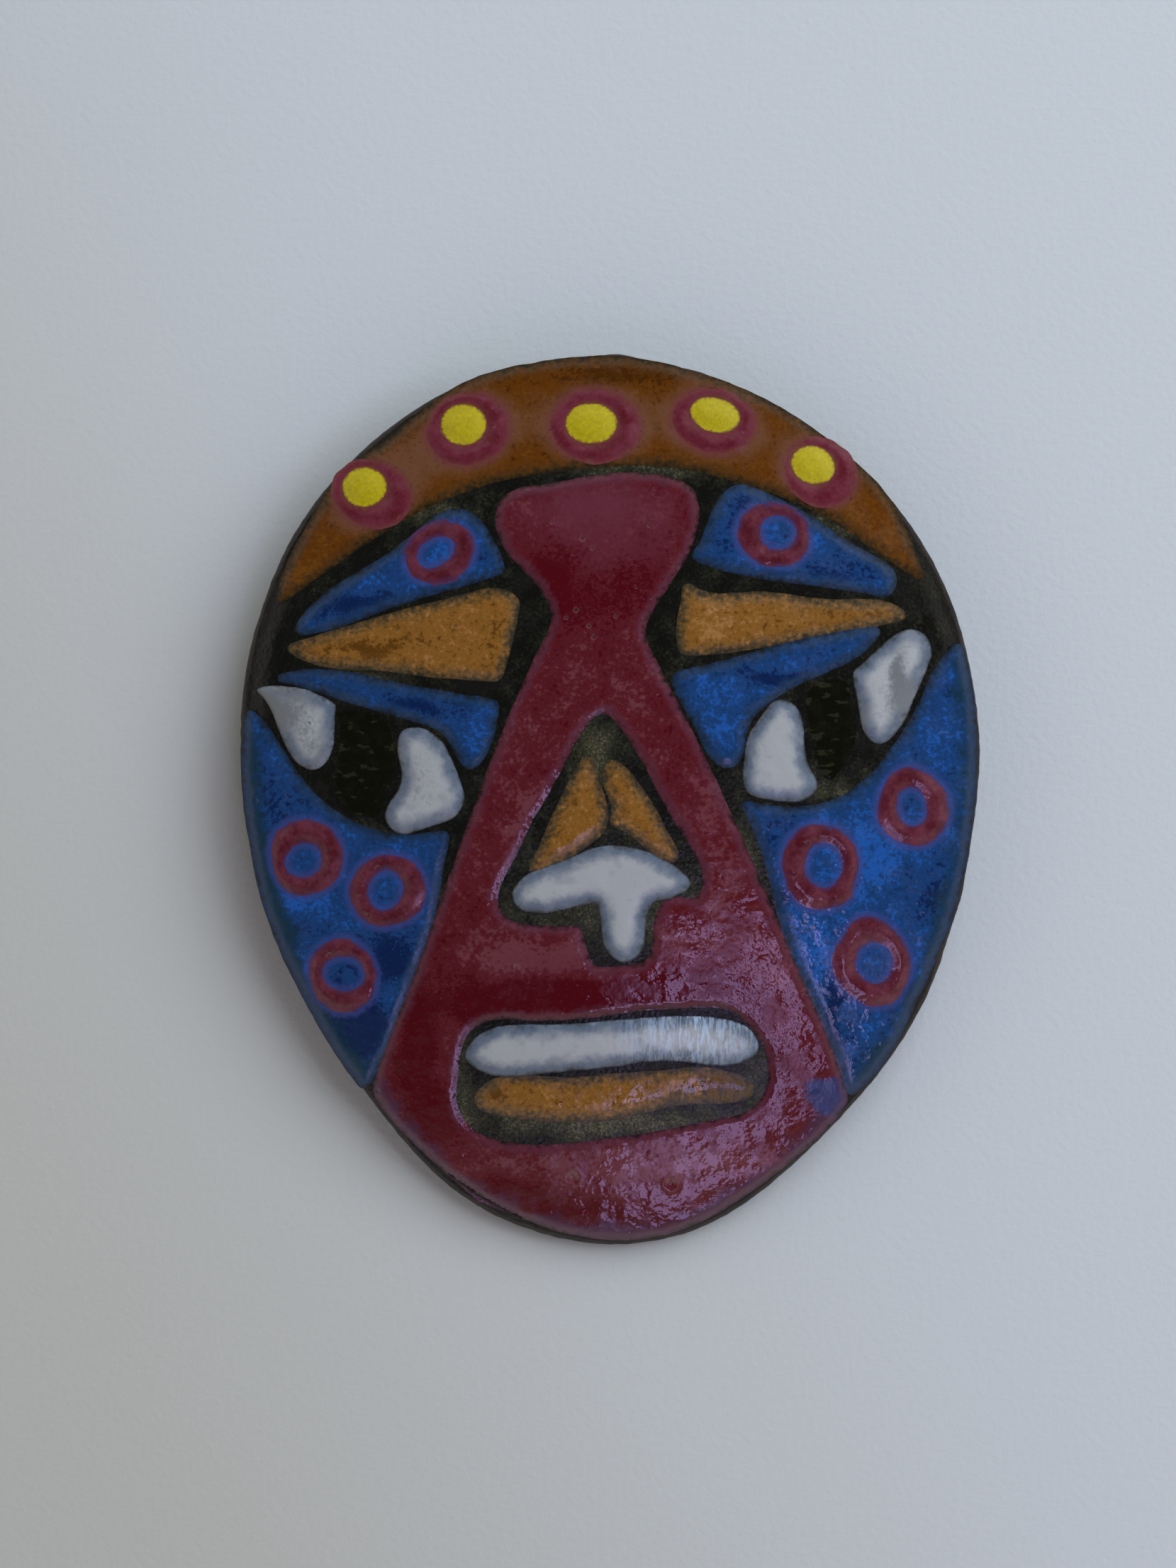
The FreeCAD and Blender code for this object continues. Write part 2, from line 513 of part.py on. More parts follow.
# Pin stem: a straight wire with a square shoulder and a flat eye at the hinge and a ground point.
WIRE_END = "sizes.tip_x - sizes.taper"
point = doc.addObject("Part::Cone", "stem_point")
point.setExpression("Radius1", "sizes.wire_radius")
point.setExpression("Radius2", "sizes.wire_radius / 8")
point.setExpression("Height", "sizes.taper")
point.Placement = Placement(Vector(0, 0, 0), Rotation(UP, ALONG_X))
for axis, text in zip("xyz", (WIRE_END, BAR_Y, "sizes.pin_height")):
    point.setExpression("Placement.Base." + axis, text)
stem_blank = fused("stem_blank", [
    cylinder("stem_eye", "sizes.eye_radius", "sizes.eye_width",
             ("sizes.hinge_x", BAR_Y + " - sizes.eye_width / 2", "sizes.pin_height"), ALONG_Y),
    box("stem_shoulder", "sizes.shoulder_reach", "sizes.eye_width", "sizes.shoulder_height",
        ("sizes.hinge_x", BAR_Y + " - sizes.eye_width / 2",
         "sizes.pin_height - sizes.shoulder_height / 2")),
    cylinder("stem_wire", "sizes.wire_radius", WIRE_END + " - sizes.hinge_x",
             ("sizes.hinge_x", BAR_Y, "sizes.pin_height"), ALONG_X),
    point,
])
eye_hole = cylinder("eye_hole", "sizes.eye_hole_radius", "sizes.eye_width",
                    ("sizes.hinge_x", BAR_Y + " - sizes.eye_width / 2", "sizes.pin_height"), ALONG_Y)
keep(boolean("Cut", "stem", stem_blank, eye_hole), "pin_stem")


def mouth(name, width, start, length):
    """Slot below the pin's axis that lets the pin swing into a tube."""
    return box(name, length, width, "sizes.pin_height + sizes.catch_radius",
               (start, BAR_Y + " - " + width + " / 2", "-sizes.catch_radius"))


# Catch housing: a C-shaped tube, open downwards, on a neck under the plate.
housing_outside = fused("housing_outside", [
    cylinder("housing_tube", "sizes.catch_radius", "sizes.catch_length",
             ("sizes.catch_x", BAR_Y, "sizes.pin_height"), ALONG_X),
    box("housing_neck", "sizes.catch_length", "sizes.neck_width", "sizes.bar_bottom - sizes.pin_height",
        ("sizes.catch_x", BAR_Y + " - sizes.neck_width / 2", "sizes.pin_height")),
])
housing_inside = fused("housing_inside", [
    cylinder("housing_bore", "sizes.catch_bore", "sizes.catch_length",
             ("sizes.catch_x", BAR_Y, "sizes.pin_height"), ALONG_X),
    mouth("housing_mouth", "sizes.catch_mouth", "sizes.catch_x", "sizes.catch_length"),
])
keep(boolean("Cut", "housing", housing_outside, housing_inside), "catch_housing")

# Turning sleeve: a slit tube with a collar at one end and a head with a lever at the other.
SLEEVE_START = "sizes.catch_x - sizes.sleeve_gap - sizes.collar_width"
HEAD_START = "sizes.catch_x + sizes.catch_length + sizes.sleeve_gap"
SLEEVE_LENGTH = HEAD_START + " + sizes.head_width - (" + SLEEVE_START + ")"
sleeve_outside = fused("sleeve_outside", [
    cylinder("sleeve_tube", "sizes.sleeve_radius", SLEEVE_LENGTH,
             (SLEEVE_START, BAR_Y, "sizes.pin_height"), ALONG_X),
    cylinder("sleeve_collar", "sizes.collar_radius", "sizes.collar_width",
             (SLEEVE_START, BAR_Y, "sizes.pin_height"), ALONG_X),
    cylinder("sleeve_head", "sizes.head_radius", "sizes.head_width",
             (HEAD_START, BAR_Y, "sizes.pin_height"), ALONG_X),
    box("sleeve_lever", "sizes.head_width", "sizes.lever_reach - sizes.sleeve_radius", "sizes.lever_width",
        (HEAD_START, BAR_Y + " + sizes.sleeve_radius", "sizes.pin_height - sizes.lever_width / 2")),
])
sleeve_inside = fused("sleeve_inside", [
    cylinder("sleeve_hole", "sizes.sleeve_bore", SLEEVE_LENGTH,
             (SLEEVE_START, BAR_Y, "sizes.pin_height"), ALONG_X),
    mouth("sleeve_slot", "sizes.sleeve_mouth", SLEEVE_START, SLEEVE_LENGTH),
])
keep(boolean("Cut", "sleeve", sleeve_outside, sleeve_inside), "catch_sleeve")

# Glue: fills the gap between the flat plate and the hollow back, and the plate's holes.
glue_strip = strip("glue_strip", "sizes.glue_margin",
                   "sizes.bar_bottom + sizes.bar_gauge - sizes.glue_lap", "sizes.pole_height")
glue_blank = boolean("Common", "glue_blank", glue_strip, ball("glue_ball", GLUE_OUT))
keep(boolean("Cut", "glue", glue_blank, bar_plate), "glue_pad")

doc.recompute()

for obj in doc.Objects:
    if "Invalid" in obj.State or "Error" in obj.State:
        raise RuntimeError("%s failed: %s" % (obj.Name, obj.State))
for obj in subparts:
    shape = obj.Shape
    if shape.isNull() or not shape.isValid() or len(shape.Solids) != 1:
        raise RuntimeError("%s is not one valid solid" % obj.Label)
lowest = copper_base.Shape.optimalBoundingBox(False).ZMin
if abs(lowest) > 0.02:
    raise RuntimeError("the chin is %.3f mm from the table" % lowest)

os.makedirs("parts", exist_ok=True)
for obj in subparts:
    obj.Shape.exportStep(os.path.join("parts", obj.Label + ".step"))
    size = obj.Shape.optimalBoundingBox(False)
    print("%-24s %8.2f mm3  x %7.2f %7.2f  y %7.2f %7.2f  z %6.2f %6.2f" % (
        obj.Label, obj.Shape.Volume, size.XMin, size.XMax, size.YMin, size.YMax, size.ZMin, size.ZMax))
print("%d sub-parts" % len(subparts))
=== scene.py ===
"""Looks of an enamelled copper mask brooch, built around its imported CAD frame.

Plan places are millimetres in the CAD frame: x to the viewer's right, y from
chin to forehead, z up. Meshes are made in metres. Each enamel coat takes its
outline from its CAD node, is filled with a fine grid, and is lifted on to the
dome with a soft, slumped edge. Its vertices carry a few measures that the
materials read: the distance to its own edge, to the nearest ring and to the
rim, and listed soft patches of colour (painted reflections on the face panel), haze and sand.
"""

import math

import bmesh
import bpy
import numpy as np
from mathutils import Matrix, Vector, kdtree, noise
from mathutils.geometry import delaunay_2d_cdt


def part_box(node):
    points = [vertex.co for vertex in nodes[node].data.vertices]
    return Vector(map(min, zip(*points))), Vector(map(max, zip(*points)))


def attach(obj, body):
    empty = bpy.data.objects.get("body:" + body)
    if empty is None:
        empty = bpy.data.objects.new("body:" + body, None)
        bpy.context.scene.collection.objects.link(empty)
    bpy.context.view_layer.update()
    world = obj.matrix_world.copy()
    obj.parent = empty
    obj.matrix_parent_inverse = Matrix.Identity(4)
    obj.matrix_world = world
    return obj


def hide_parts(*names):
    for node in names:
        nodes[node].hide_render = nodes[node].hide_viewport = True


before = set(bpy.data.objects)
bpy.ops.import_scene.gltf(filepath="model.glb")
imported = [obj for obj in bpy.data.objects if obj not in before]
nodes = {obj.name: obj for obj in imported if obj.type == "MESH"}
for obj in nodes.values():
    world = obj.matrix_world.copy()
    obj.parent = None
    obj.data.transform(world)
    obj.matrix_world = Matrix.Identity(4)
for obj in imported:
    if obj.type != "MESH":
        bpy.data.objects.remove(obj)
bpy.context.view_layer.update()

MM = 0.001

# Dome: every layer lies on a sphere about one centre, under the bar of the pin.
DOME_RADIUS = 105.0
COPPER_GAUGE = 0.9
POLE_HEIGHT = 5.75
GROUND_OUT = DOME_RADIUS + 0.28
FIELD_OUT = GROUND_OUT + 0.22
RING_OUT = FIELD_OUT + 0.12
DOT_OUT = FIELD_OUT + 0.16
IRIS_OUT = GROUND_OUT + 0.16
WHITE_OUT = GROUND_OUT + 0.42
SEAM_TOP = GROUND_OUT + 0.12    # the ground coat wells up between the fields
GROUND_EDGE = DOME_RADIUS + 0.12
RING_EDGE = FIELD_OUT - 0.01
RAISED_EDGE = SEAM_TOP - 0.02   # of the whites and the irises
COPPER_IN = DOME_RADIUS - COPPER_GAUGE
COUNTER_OUT = COPPER_IN - 0.01
COUNTER_IN = COPPER_IN - 0.25
BAR_Y = (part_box("pin_stem")[0].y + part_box("pin_stem")[1].y) / 2 / MM
CENTRE = np.array([0.0, BAR_Y, POLE_HEIGHT - COPPER_IN])

FIELD_STEP = 0.2        # grid of the large coats
FINE_STEP = 0.13        # grid of the small raised ones
RAISED_STEP = 0.16      # grid of the ambers, the rings and the irises
COUNTER_STEP = 0.35     # grid of the counter enamel
BACK_STEP = 1.5         # grid of faces that nothing shows
OUTLINE_SHARE = 0.75    # spacing of a coat's outline, over its grid
EDGE_CLEARANCE = 0.45   # least distance of the grid from the outline, over its step
EMBED = 0.06            # a coat's underside is sunk this far into the layer below
ROW = math.sqrt(3) / 2  # height of a row of the triangular grid, over its step
SAME_LEVEL = 0.02       # vertices this little below the highest are on the outer face

# Rings of points round a burst bubble, and the space kept free for them, over its radius.
PIT_RINGS = (0.0, 0.3, 0.6, 0.85, 1.1, 1.35, 1.6)
PIT_SPACE = 1.7
PIT_POINTS = 24

CREASE = math.radians(50)       # folds sharper than this are shaded as edges
FLAT_FOLD = math.radians(1.5)   # folds flatter than this are merged away
BEVEL_FOLD = math.radians(38)   # folds sharper than this are bevelled

HALO_RINGS = [name for name in nodes if name.startswith(("cheek_ring", "brow_ring", "crown_ring"))]


# ---------------------------------------------------------------- plan shapes

def node_points(node):
    """Vertices of a CAD node in millimetres."""
    mesh = nodes[node].data
    points = np.empty(len(mesh.vertices) * 3)
    mesh.vertices.foreach_get("co", points)
    return points.reshape(-1, 3) / MM


def outlines(node):
    """Plan loops of a CAD layer's outer face, the longest first."""
    points = node_points(node)
    mesh = nodes[node].data
    mesh.calc_loop_triangles()
    corners = np.array([tri.vertices[:] for tri in mesh.loop_triangles])
    radius = np.linalg.norm(points - CENTRE, axis=1)
    first_of = {}
    merged = np.array([first_of.setdefault(tuple(np.round(p, 4)), i) for i, p in enumerate(points)])
    one, two, three = (points[corners[:, i]] for i in range(3))
    across = np.cross(two - one, three - one)
    facing = across[:, 2] > 0.5 * np.linalg.norm(across, axis=1)
    outer = facing & (radius[corners] > radius.max() - SAME_LEVEL).all(axis=1)
    following = {}
    for a, b, c in merged[corners[outer]]:
        following.update({(a, b): b, (b, c): c, (c, a): a})
    step_from = {a: b for a, b in following if (b, a) not in following}
    loops = []
    while step_from:
        start, at = step_from.popitem()
        chain = [start]
        while at != start:
            chain.append(at)
            at = step_from.pop(at)
        loops.append(points[chain, :2])
    return sorted(loops, key=lambda loop: -np.ptp(loop[:, 0]))


def along_normals(loop):
    """Unit normals of a plan loop, to the left of its direction."""
    tangent = np.roll(loop, -1, axis=0) - np.roll(loop, 1, axis=0)
    tangent /= np.linalg.norm(tangent, axis=1)[:, None]
    return np.c_[-tangent[:, 1], tangent[:, 0]]


def wander(points, wavelength, seed):
    """Smooth noise, -1 to 1, at plan points."""
    return np.array([noise.noise((x / wavelength, y / wavelength, seed)) for x, y in points[:, :2]])


def resample(loop, step, softness=5, wobble=0.05, grow=0.0):
    """Even points along a loop, with its corners softened, slightly uneven, and grown outwards."""
    closed = np.vstack([loop, loop[:1]])
    reach = np.r_[0, np.cumsum(np.linalg.norm(np.diff(closed, axis=0), axis=1))]
    count = max(int(reach[-1] / step), 16)
    at = np.arange(count) * reach[-1] / count
    even = np.c_[np.interp(at, reach, closed[:, 0]), np.interp(at, reach, closed[:, 1])]
    for _ in range(softness):
        even = even / 2 + (np.roll(even, 1, axis=0) + np.roll(even, -1, axis=0)) / 4
    return even + along_normals(even) * (wobble * wander(even, 0.9, 3.3) - grow)[:, None]


def crossings(loops, y):
    """Where a horizontal line crosses the loops, from left to right."""
    found = []
    for loop in loops:
        other = np.roll(loop, -1, axis=0)
        hit = (loop[:, 1] <= y) != (other[:, 1] <= y)
        a, b = loop[hit], other[hit]
        found.append(a[:, 0] + (y - a[:, 1]) * (b[:, 0] - a[:, 0]) / (b[:, 1] - a[:, 1]))
    return np.sort(np.concatenate(found))


def inside(loops, x, y):
    """Which of the places x on one line y are inside the loops."""
    return np.searchsorted(crossings(loops, y), x) % 2 == 1


def nearest(loops):
    """Function that measures plan points to the nearest loop point."""
    points = np.vstack(loops)
    tree = kdtree.KDTree(len(points))
    for i, (x, y) in enumerate(points):
        tree.insert((x, y, 0), i)
    tree.balance()
    return lambda plan: np.array([tree.find((x, y, 0))[2] for x, y in plan[:, :2]])


def fill(loops, step, pits=()):
    """Triangulated plan of a region: its points, the loops' own first, and triangles."""
    edge_points = np.vstack(loops)
    low, high = edge_points.min(axis=0), edge_points.max(axis=0)
    grid = []
    for j, y in enumerate(np.arange(low[1] + step / 3, high[1], step * ROW)):
        x = np.arange(low[0] + step * (0.5 if j % 2 else 0.0), high[0], step)
        x = x[inside(loops, x, y)]
        grid.append(np.c_[x, np.full(len(x), y)])
    grid = np.vstack(grid)
    for x, y, radius, _depth in pits:
        grid = grid[np.hypot(grid[:, 0] - x, grid[:, 1] - y) > PIT_SPACE * radius]
        for share in PIT_RINGS:
            count = max(int(PIT_POINTS * share), 1)
            turn = np.linspace(0, 2 * math.pi, count, endpoint=False) + share
            ring = np.c_[x + share * radius * np.cos(turn), y + share * radius * np.sin(turn)]
            grid = np.vstack([grid, ring])
    grid = grid[nearest(loops)(grid) > EDGE_CLEARANCE * min(step, 0.3)]
    pairs, first = [], 0
    for loop in loops:
        count = len(loop)
        pairs += [(first + i, first + (i + 1) % count) for i in range(count)]
        first += count
    points = np.vstack([edge_points, grid])
    made = delaunay_2d_cdt([Vector(p) for p in points], pairs, [], 0, 1e-7)
    if len(made[0]) != len(points):
        raise RuntimeError("an outline crosses itself")
    triangles = np.array(made[2])
    on_edge = (triangles < first).all(axis=1)
    middles = points[triangles].mean(axis=1)
    keep = ~on_edge
    for i in np.flatnonzero(on_edge):
        keep[i] = inside(loops, middles[i, :1], middles[i, 1])[0]
    triangles = triangles[keep]
    a, b, c = (points[triangles[:, i]] for i in range(3))
    turned = (b[:, 0] - a[:, 0]) * (c[:, 1] - a[:, 1]) < (b[:, 1] - a[:, 1]) * (c[:, 0] - a[:, 0])
    triangles[turned] = triangles[turned][:, ::-1]
    return points, triangles


def on_dome(plan, radius):
    """Plan points lifted to a distance from the dome's centre, in millimetres."""
    flat = plan[:, :2] - CENTRE[:2]
    return np.c_[plan[:, :2], CENTRE[2] + np.sqrt(radius ** 2 - (flat ** 2).sum(axis=1))]


# ---------------------------------------------------------------- soft patches

# Each patch: (x, y, reach in x, reach in y, strength). Strength below 0 gives a deeper
# colour and above 0 a paler one; on the face panel these colour patches are painted
# reflections. Haze is milky or combed glass, or stained glass below 0. Sand is where
# the ground coat lies thin.
TONES_AND_REFLECTIONS = {
    # Face panel: painted reflections, deep where dark things are mirrored (the band above the mouth, the
    # chin's lower edge) and pale where a warm grey ceiling is.
    "face_panel": [
        (5.4, -10.6, 1.8, 1.0, -0.8), (8.0, -13.4, 1.3, 2.2, -1.0), (9.9, -16.4, 1.0, 2.0, -0.9),
        (-6.8, -9.8, 1.6, 1.4, 0.6), (10.6, -10.8, 1.4, 2.4, 0.4), (-8.4, -13.2, 1.4, 1.0, -0.6),
        (-4.4, 12.8, 1.5, 2.4, -0.9), (-1.0, 12.4, 2.4, 2.0, -0.4), (2.6, 14.0, 1.4, 2.0, -0.3),
        (-4.5, -12.0, 5.5, 1.1, -1.0), (4.0, -11.9, 4.0, 0.9, -0.8), (-12.0, -15.0, 1.2, 4.0, -0.8),
        (-10.8, -19.5, 2.2, 2.4, -0.6), (-6.5, -24.4, 3.6, 1.3, -0.8), (1.5, -26.0, 5.0, 0.8, -0.8),
        (12.0, -18.4, 1.6, 2.4, -0.3), (-2.8, -9.4, 4.0, 1.2, 0.6), (5.6, -9.5, 1.6, 1.6, 0.4),
        (0.0, -22.8, 7.0, 1.2, 0.8), (-5.6, -2.5, 1.1, 5.0, 0.4), (6.6, -3.0, 1.1, 4.0, 0.4),
        (0.6, 7.6, 2.2, 2.4, 0.1), (7.5, -22.0, 3.0, 1.3, 0.4),
    ],
    "cheek_left": [
        (-16.2, -14.2, 2.2, 2.2, -1.0), (-20.6, -1.0, 1.4, 3.4, -0.2), (-13.6, -9.8, 1.6, 2.0, -0.5),
        (-17.6, -6.6, 2.4, 1.2, 0.4), (-12.2, -4.0, 1.0, 2.4, 0.2), (-19.8, 3.0, 1.2, 1.8, 0.2),
    ],
    "cheek_right": [
        (14.2, -11.8, 0.7, 1.3, -1.0), (11.0, -5.7, 0.7, 0.5, -1.0), (13.9, -14.8, 0.9, 2.0, -0.6),
        (19.6, -5.4, 1.6, 3.2, -0.3), (11.2, -0.9, 2.0, 1.0, -0.3), (16.2, -3.4, 2.6, 3.2, 0.6),
        (12.8, -9.0, 1.8, 2.4, 0.5), (19.6, -9.8, 0.8, 3.0, 0.2), (20.0, 4.0, 1.2, 2.6, 0.2),
    ],
    "lid_left": [(-12.0, 5.9, 2.4, 0.7, -0.5), (-8.2, 4.2, 1.2, 1.4, 0.3)],
    "brow_field_left": [(-16.0, 12.0, 2.6, 0.8, -0.5), (-9.6, 15.6, 1.4, 1.8, 0.2)],
    "brow_field_right": [
        (14.0, 14.2, 2.6, 0.7, -0.4), (8.2, 18.2, 1.2, 1.2, -0.4), (12.6, 16.2, 1.4, 1.2, 0.3),
    ],
    "eye_white_outer_left": [(-20.6, 5.8, 2.2, 1.8, -0.9), (-18.2, 2.6, 1.2, 2.4, -0.5)],
    "eye_white_inner_left": [(-11.4, 1.4, 0.8, 2.2, -0.3)],
    "eye_white_outer_right": [(17.9, 7.4, 0.8, 2.4, -1.0), (15.8, 5.2, 0.8, 2.0, -0.6)],
    "eye_white_inner_right": [(9.2, 3.8, 0.9, 2.2, -0.2)],
    "lip_upper": [(8.0, -14.6, 1.4, 1.2, -0.4)],
    "lip_lower": [(7.6, -17.8, 1.6, 1.4, -0.9), (-7.4, -18.2, 0.8, 1.2, -0.5)],
    "amber_brow_left": [(-15.0, 9.6, 2.6, 0.6, -0.5), (-7.2, 10.4, 0.8, 1.8, -0.3)],
    "amber_brow_right": [(6.4, 11.0, 1.0, 1.8, 0.4), (15.0, 11.6, 2.4, 0.6, -0.3)],
    "lid_right": [(11.5, 7.7, 3.4, 0.6, -0.7), (6.4, 5.6, 1.6, 1.8, 0.4)],
    "crown_band": [(-19.0, 13.8, 1.6, 1.8, 0.5), (17.8, 15.6, 1.6, 2.0, 0.3), (1.0, 26.4, 8.0, 1.0, -0.4)],
}
HAZES = {
    "lip_upper": [(5.2, -14.4, 3.6, 2.0, 0.6)],
    "lip_lower": [(6.0, -18.0, 3.4, 1.0, 0.9)],
    "face_panel": [
        (-1.0, 18.2, 5.0, 1.8, 0.9), (0.5, 15.2, 3.8, 1.8, 0.5), (-5.0, -4.0, 1.2, 4.0, 0.4),
        (0.0, -22.4, 6.0, 1.1, 0.25), (-3.4, -10.0, 3.6, 0.9, 0.5), (13.5, -18.3, 1.3, 1.2, -1.1),
    ],
    "crown_band": [
        (-13.0, 21.2, 2.2, 1.6, 0.7), (-4.8, 23.6, 2.0, 1.8, 0.5), (2.8, 23.6, 1.8, 1.6, 0.5),
        (9.8, 22.4, 2.0, 1.4, 0.5), (-16.6, 17.2, 1.6, 1.2, 0.4), (-11.6, 20.4, 2.0, 1.4, 0.4),
    ],
}
SANDS = [
    (-21.5, 11.0, 2.0, 6.0, -1.0), (-17.5, 20.0, 4.0, 3.0, -1.0), (0.0, -13.3, 9.0, 0.5, -1.0),
    (-16.0, 0.0, 3.5, 1.4, -0.6), (-8.0, 8.0, 1.0, 3.0, -0.2),
    (-13.0, 18.0, 4.5, 1.0, 0.8), (3.0, 20.5, 7.0, 0.6, 0.7), (13.0, 17.0, 4.0, 1.0, 0.6),
    (-15.0, 7.6, 3.0, 0.5, 0.5), (-1.0, 3.2, 1.4, 2.6, 0.9), (0.0, -6.0, 7.0, 3.4, 0.7),
    (0.0, -20.0, 8.5, 1.2, 1.0), (-9.2, -17.6, 0.8, 2.6, 0.8), (9.2, -17.0, 0.8, 2.0, 0.7),
    (13.6, 1.0, 2.6, 1.0, 0.7), (4.4, 7.8, 0.8, 2.6, 0.3), (8.4, -3.4, 1.4, 3.6, 0.6),
    (-16.2, -1.6, 3.0, 0.8, 0.6),
]

# Burst bubbles in the glass: (x, y, radius, depth).
PITS = {
    "face_panel": [
        (-1.7, 16.2, 0.22, 0.07), (-1.1, 15.6, 0.16, 0.05), (-2.1, 11.8, 0.2, 0.07),
        (-2.7, 11.3, 0.15, 0.05), (-1.3, 10.8, 0.17, 0.06), (-1.0, 10.1, 0.2, 0.06),
        (0.35, 11.4, 0.15, 0.05), (-2.3, -23.4, 0.42, 0.1), (3.8, -23.8, 0.4, 0.1),
        (-8.0, -24.6, 0.25, 0.06), (1.6, 13.2, 0.13, 0.04), (-3.6, 17.2, 0.13, 0.04),
        (2.4, 17.0, 0.14, 0.04), (-5.8, -10.2, 0.16, 0.04), (7.4, -8.2, 0.15, 0.04),
    ],
    "brow_ring_right": [(9.7, 15.3, 0.42, 0.09)],
    "crown_ring_2": [(-10.5, 23.3, 0.16, 0.04), (-7.2, 23.2, 0.15, 0.04)],
    "crown_ring_3": [(-1.7, 21.9, 0.15, 0.04)],
    "crown_ring_4": [(8.3, 22.9, 0.2, 0.05)],
    "cheek_ring_left_2": [(-14.4, -4.1, 0.16, 0.05), (-15.4, -5.9, 0.15, 0.05), (-14.9, -7.0, 0.15, 0.05)],
    "cheek_ring_left_3": [(-17.4, -9.5, 0.16, 0.05)],
    "cheek_ring_right_1": [(11.4, -4.8, 0.17, 0.05), (12.2, -2.5, 0.14, 0.05)],
    "eye_white_outer_left": [(-18.6, 4.8, 0.14, 0.08)],
    "amber_brow_right": [(13.4, 11.6, 0.16, 0.04), (6.2, 11.8, 0.16, 0.04)],
    "amber_brow_left": [(-9.6, 10.8, 0.16, 0.04)],
}


def patches(plan, spots):
    """Sum of soft patches at plan points, their shapes bent by slow noise."""
    total = np.zeros(len(plan))
    if not spots:
        return total
    wavelength = 2.2
    bent_x = plan[:, 0] + 0.9 * wander(plan, wavelength, 11.0)
    bent_y = plan[:, 1] + 0.7 * wander(plan, wavelength, 17.0)
    for x, y, reach_x, reach_y, strength in spots:
        total += strength * np.exp(-((bent_x - x) / reach_x) ** 2 - ((bent_y - y) / reach_y) ** 2)
    return np.clip(total, -1, 1)


def peel(plan):
    """Gentle waviness of fired glass, in millimetres."""
    return 0.012 * wander(plan, 1.3, 5.0) + 0.006 * wander(plan, 0.55, 7.0)


def pitted(plan, pits):
    """Change of height at burst bubbles: a hollow with a small raised lip round it."""
    height = np.zeros(len(plan))
    for x, y, radius, depth in pits:
        share = np.hypot(plan[:, 0] - x, plan[:, 1] - y) / radius
        height -= depth * np.exp(-(share / 0.75) ** 4)
        height += 0.3 * depth * np.exp(-((share - 1.15) / 0.25) ** 2)
    return height


# ---------------------------------------------------------------- meshes

def added(name, data):
    """New object in the scene."""
    made = bpy.data.objects.new(name, data)
    bpy.context.scene.collection.objects.link(made)
    return made


def shade_smooth(mesh):
    mesh.polygons.foreach_set("use_smooth", [True] * len(mesh.polygons))


def mesh_piece(name, points, faces, measures):
    """Still piece from points in millimetres, with its measures as point attributes."""
    mesh = bpy.data.meshes.new(name)
    mesh.from_pydata((points * MM).tolist(), [], faces)
    for key, values in measures.items():
        layer = mesh.attributes.new(key, "FLOAT", "POINT")
        layer.data.foreach_set("value", np.ascontiguousarray(values, dtype=np.float32))
    shade_smooth(mesh)
    mesh.update()
    mesh.set_sharp_from_angle(angle=CREASE)
    piece = added(name, mesh)
    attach(piece, "root")
    return piece


RIM_LOOP = resample(outlines("copper_base")[0], 0.2, softness=1, wobble=0.0)
to_rim = nearest([RIM_LOOP])
to_rings = nearest([resample(loop, 0.15) for name in HALO_RINGS for loop in outlines(name)])


def plan_measures(node, plan, edge):
    """The measures that the materials read, at plan points."""
    return {
        "edge": edge,
        "rim": to_rim(plan),
        "ring": to_rings(plan),
        "tone_and_reflection": patches(plan, TONES_AND_REFLECTIONS.get(node)),
        "haze": patches(plan, HAZES.get(node)),
        "sand": patches(plan, SANDS) if node == "base_enamel" else np.zeros(len(plan)),
    }


def coat(node, material, low, high, slump, step=FIELD_STEP, wobble=0.05, grow=0.0,
         domed=False, side=1):
    """Coat of glass that stands for a CAD layer: slumped edge, wavy top, sunk underside.

    low and high are the radii of the edge and of the top. slump is the width of
    the soft edge, which is round like a drop's on a domed coat. wobble is how
    uneven the outline is, and grow how far it has run out. side is -1 for a coat
    that faces into the dome.
    """
    loops = [resample(loop, step * OUTLINE_SHARE, wobble=wobble, grow=grow) for loop in outlines(node)]
    pits = PITS.get(node, ())
    plan, top = fill(loops, step, pits)
    rim_count = sum(len(loop) for loop in loops)
    edge = nearest(loops)(plan)
    edge[:rim_count] = 0
    share = np.clip(edge / slump, 0, 1)
    rise = np.sqrt(1 - (1 - share) ** 2) if domed else share ** 2 * (3 - 2 * share)
    radius = low + (high - low) * rise + side * peel(plan) + share * pitted(plan, pits)
    back_plan, back = fill(loops, BACK_STEP)
    back_radius = np.full(len(back_plan), low - side * EMBED)
    offset = len(plan)
    walls = []
    first = 0
    for loop in loops:
        for i in range(len(loop)):
            a, b = first + i, first + (i + 1) % len(loop)
            walls.append((b, a, offset + a, offset + b))
        first += len(loop)
    faces = top.tolist() + (back[:, ::-1] + offset).tolist() + walls
    if side < 0:
        faces = [face[::-1] for face in faces]
    points = np.vstack([on_dome(plan, radius), on_dome(back_plan, back_radius)])
    measures = plan_measures(node, plan, edge)
    measures = {key: np.r_[values, np.zeros(len(back_plan))] for key, values in measures.items()}
    piece = mesh_piece(node + "_glass", points, faces, measures)
    piece.data.materials.append(material)
    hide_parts(node)


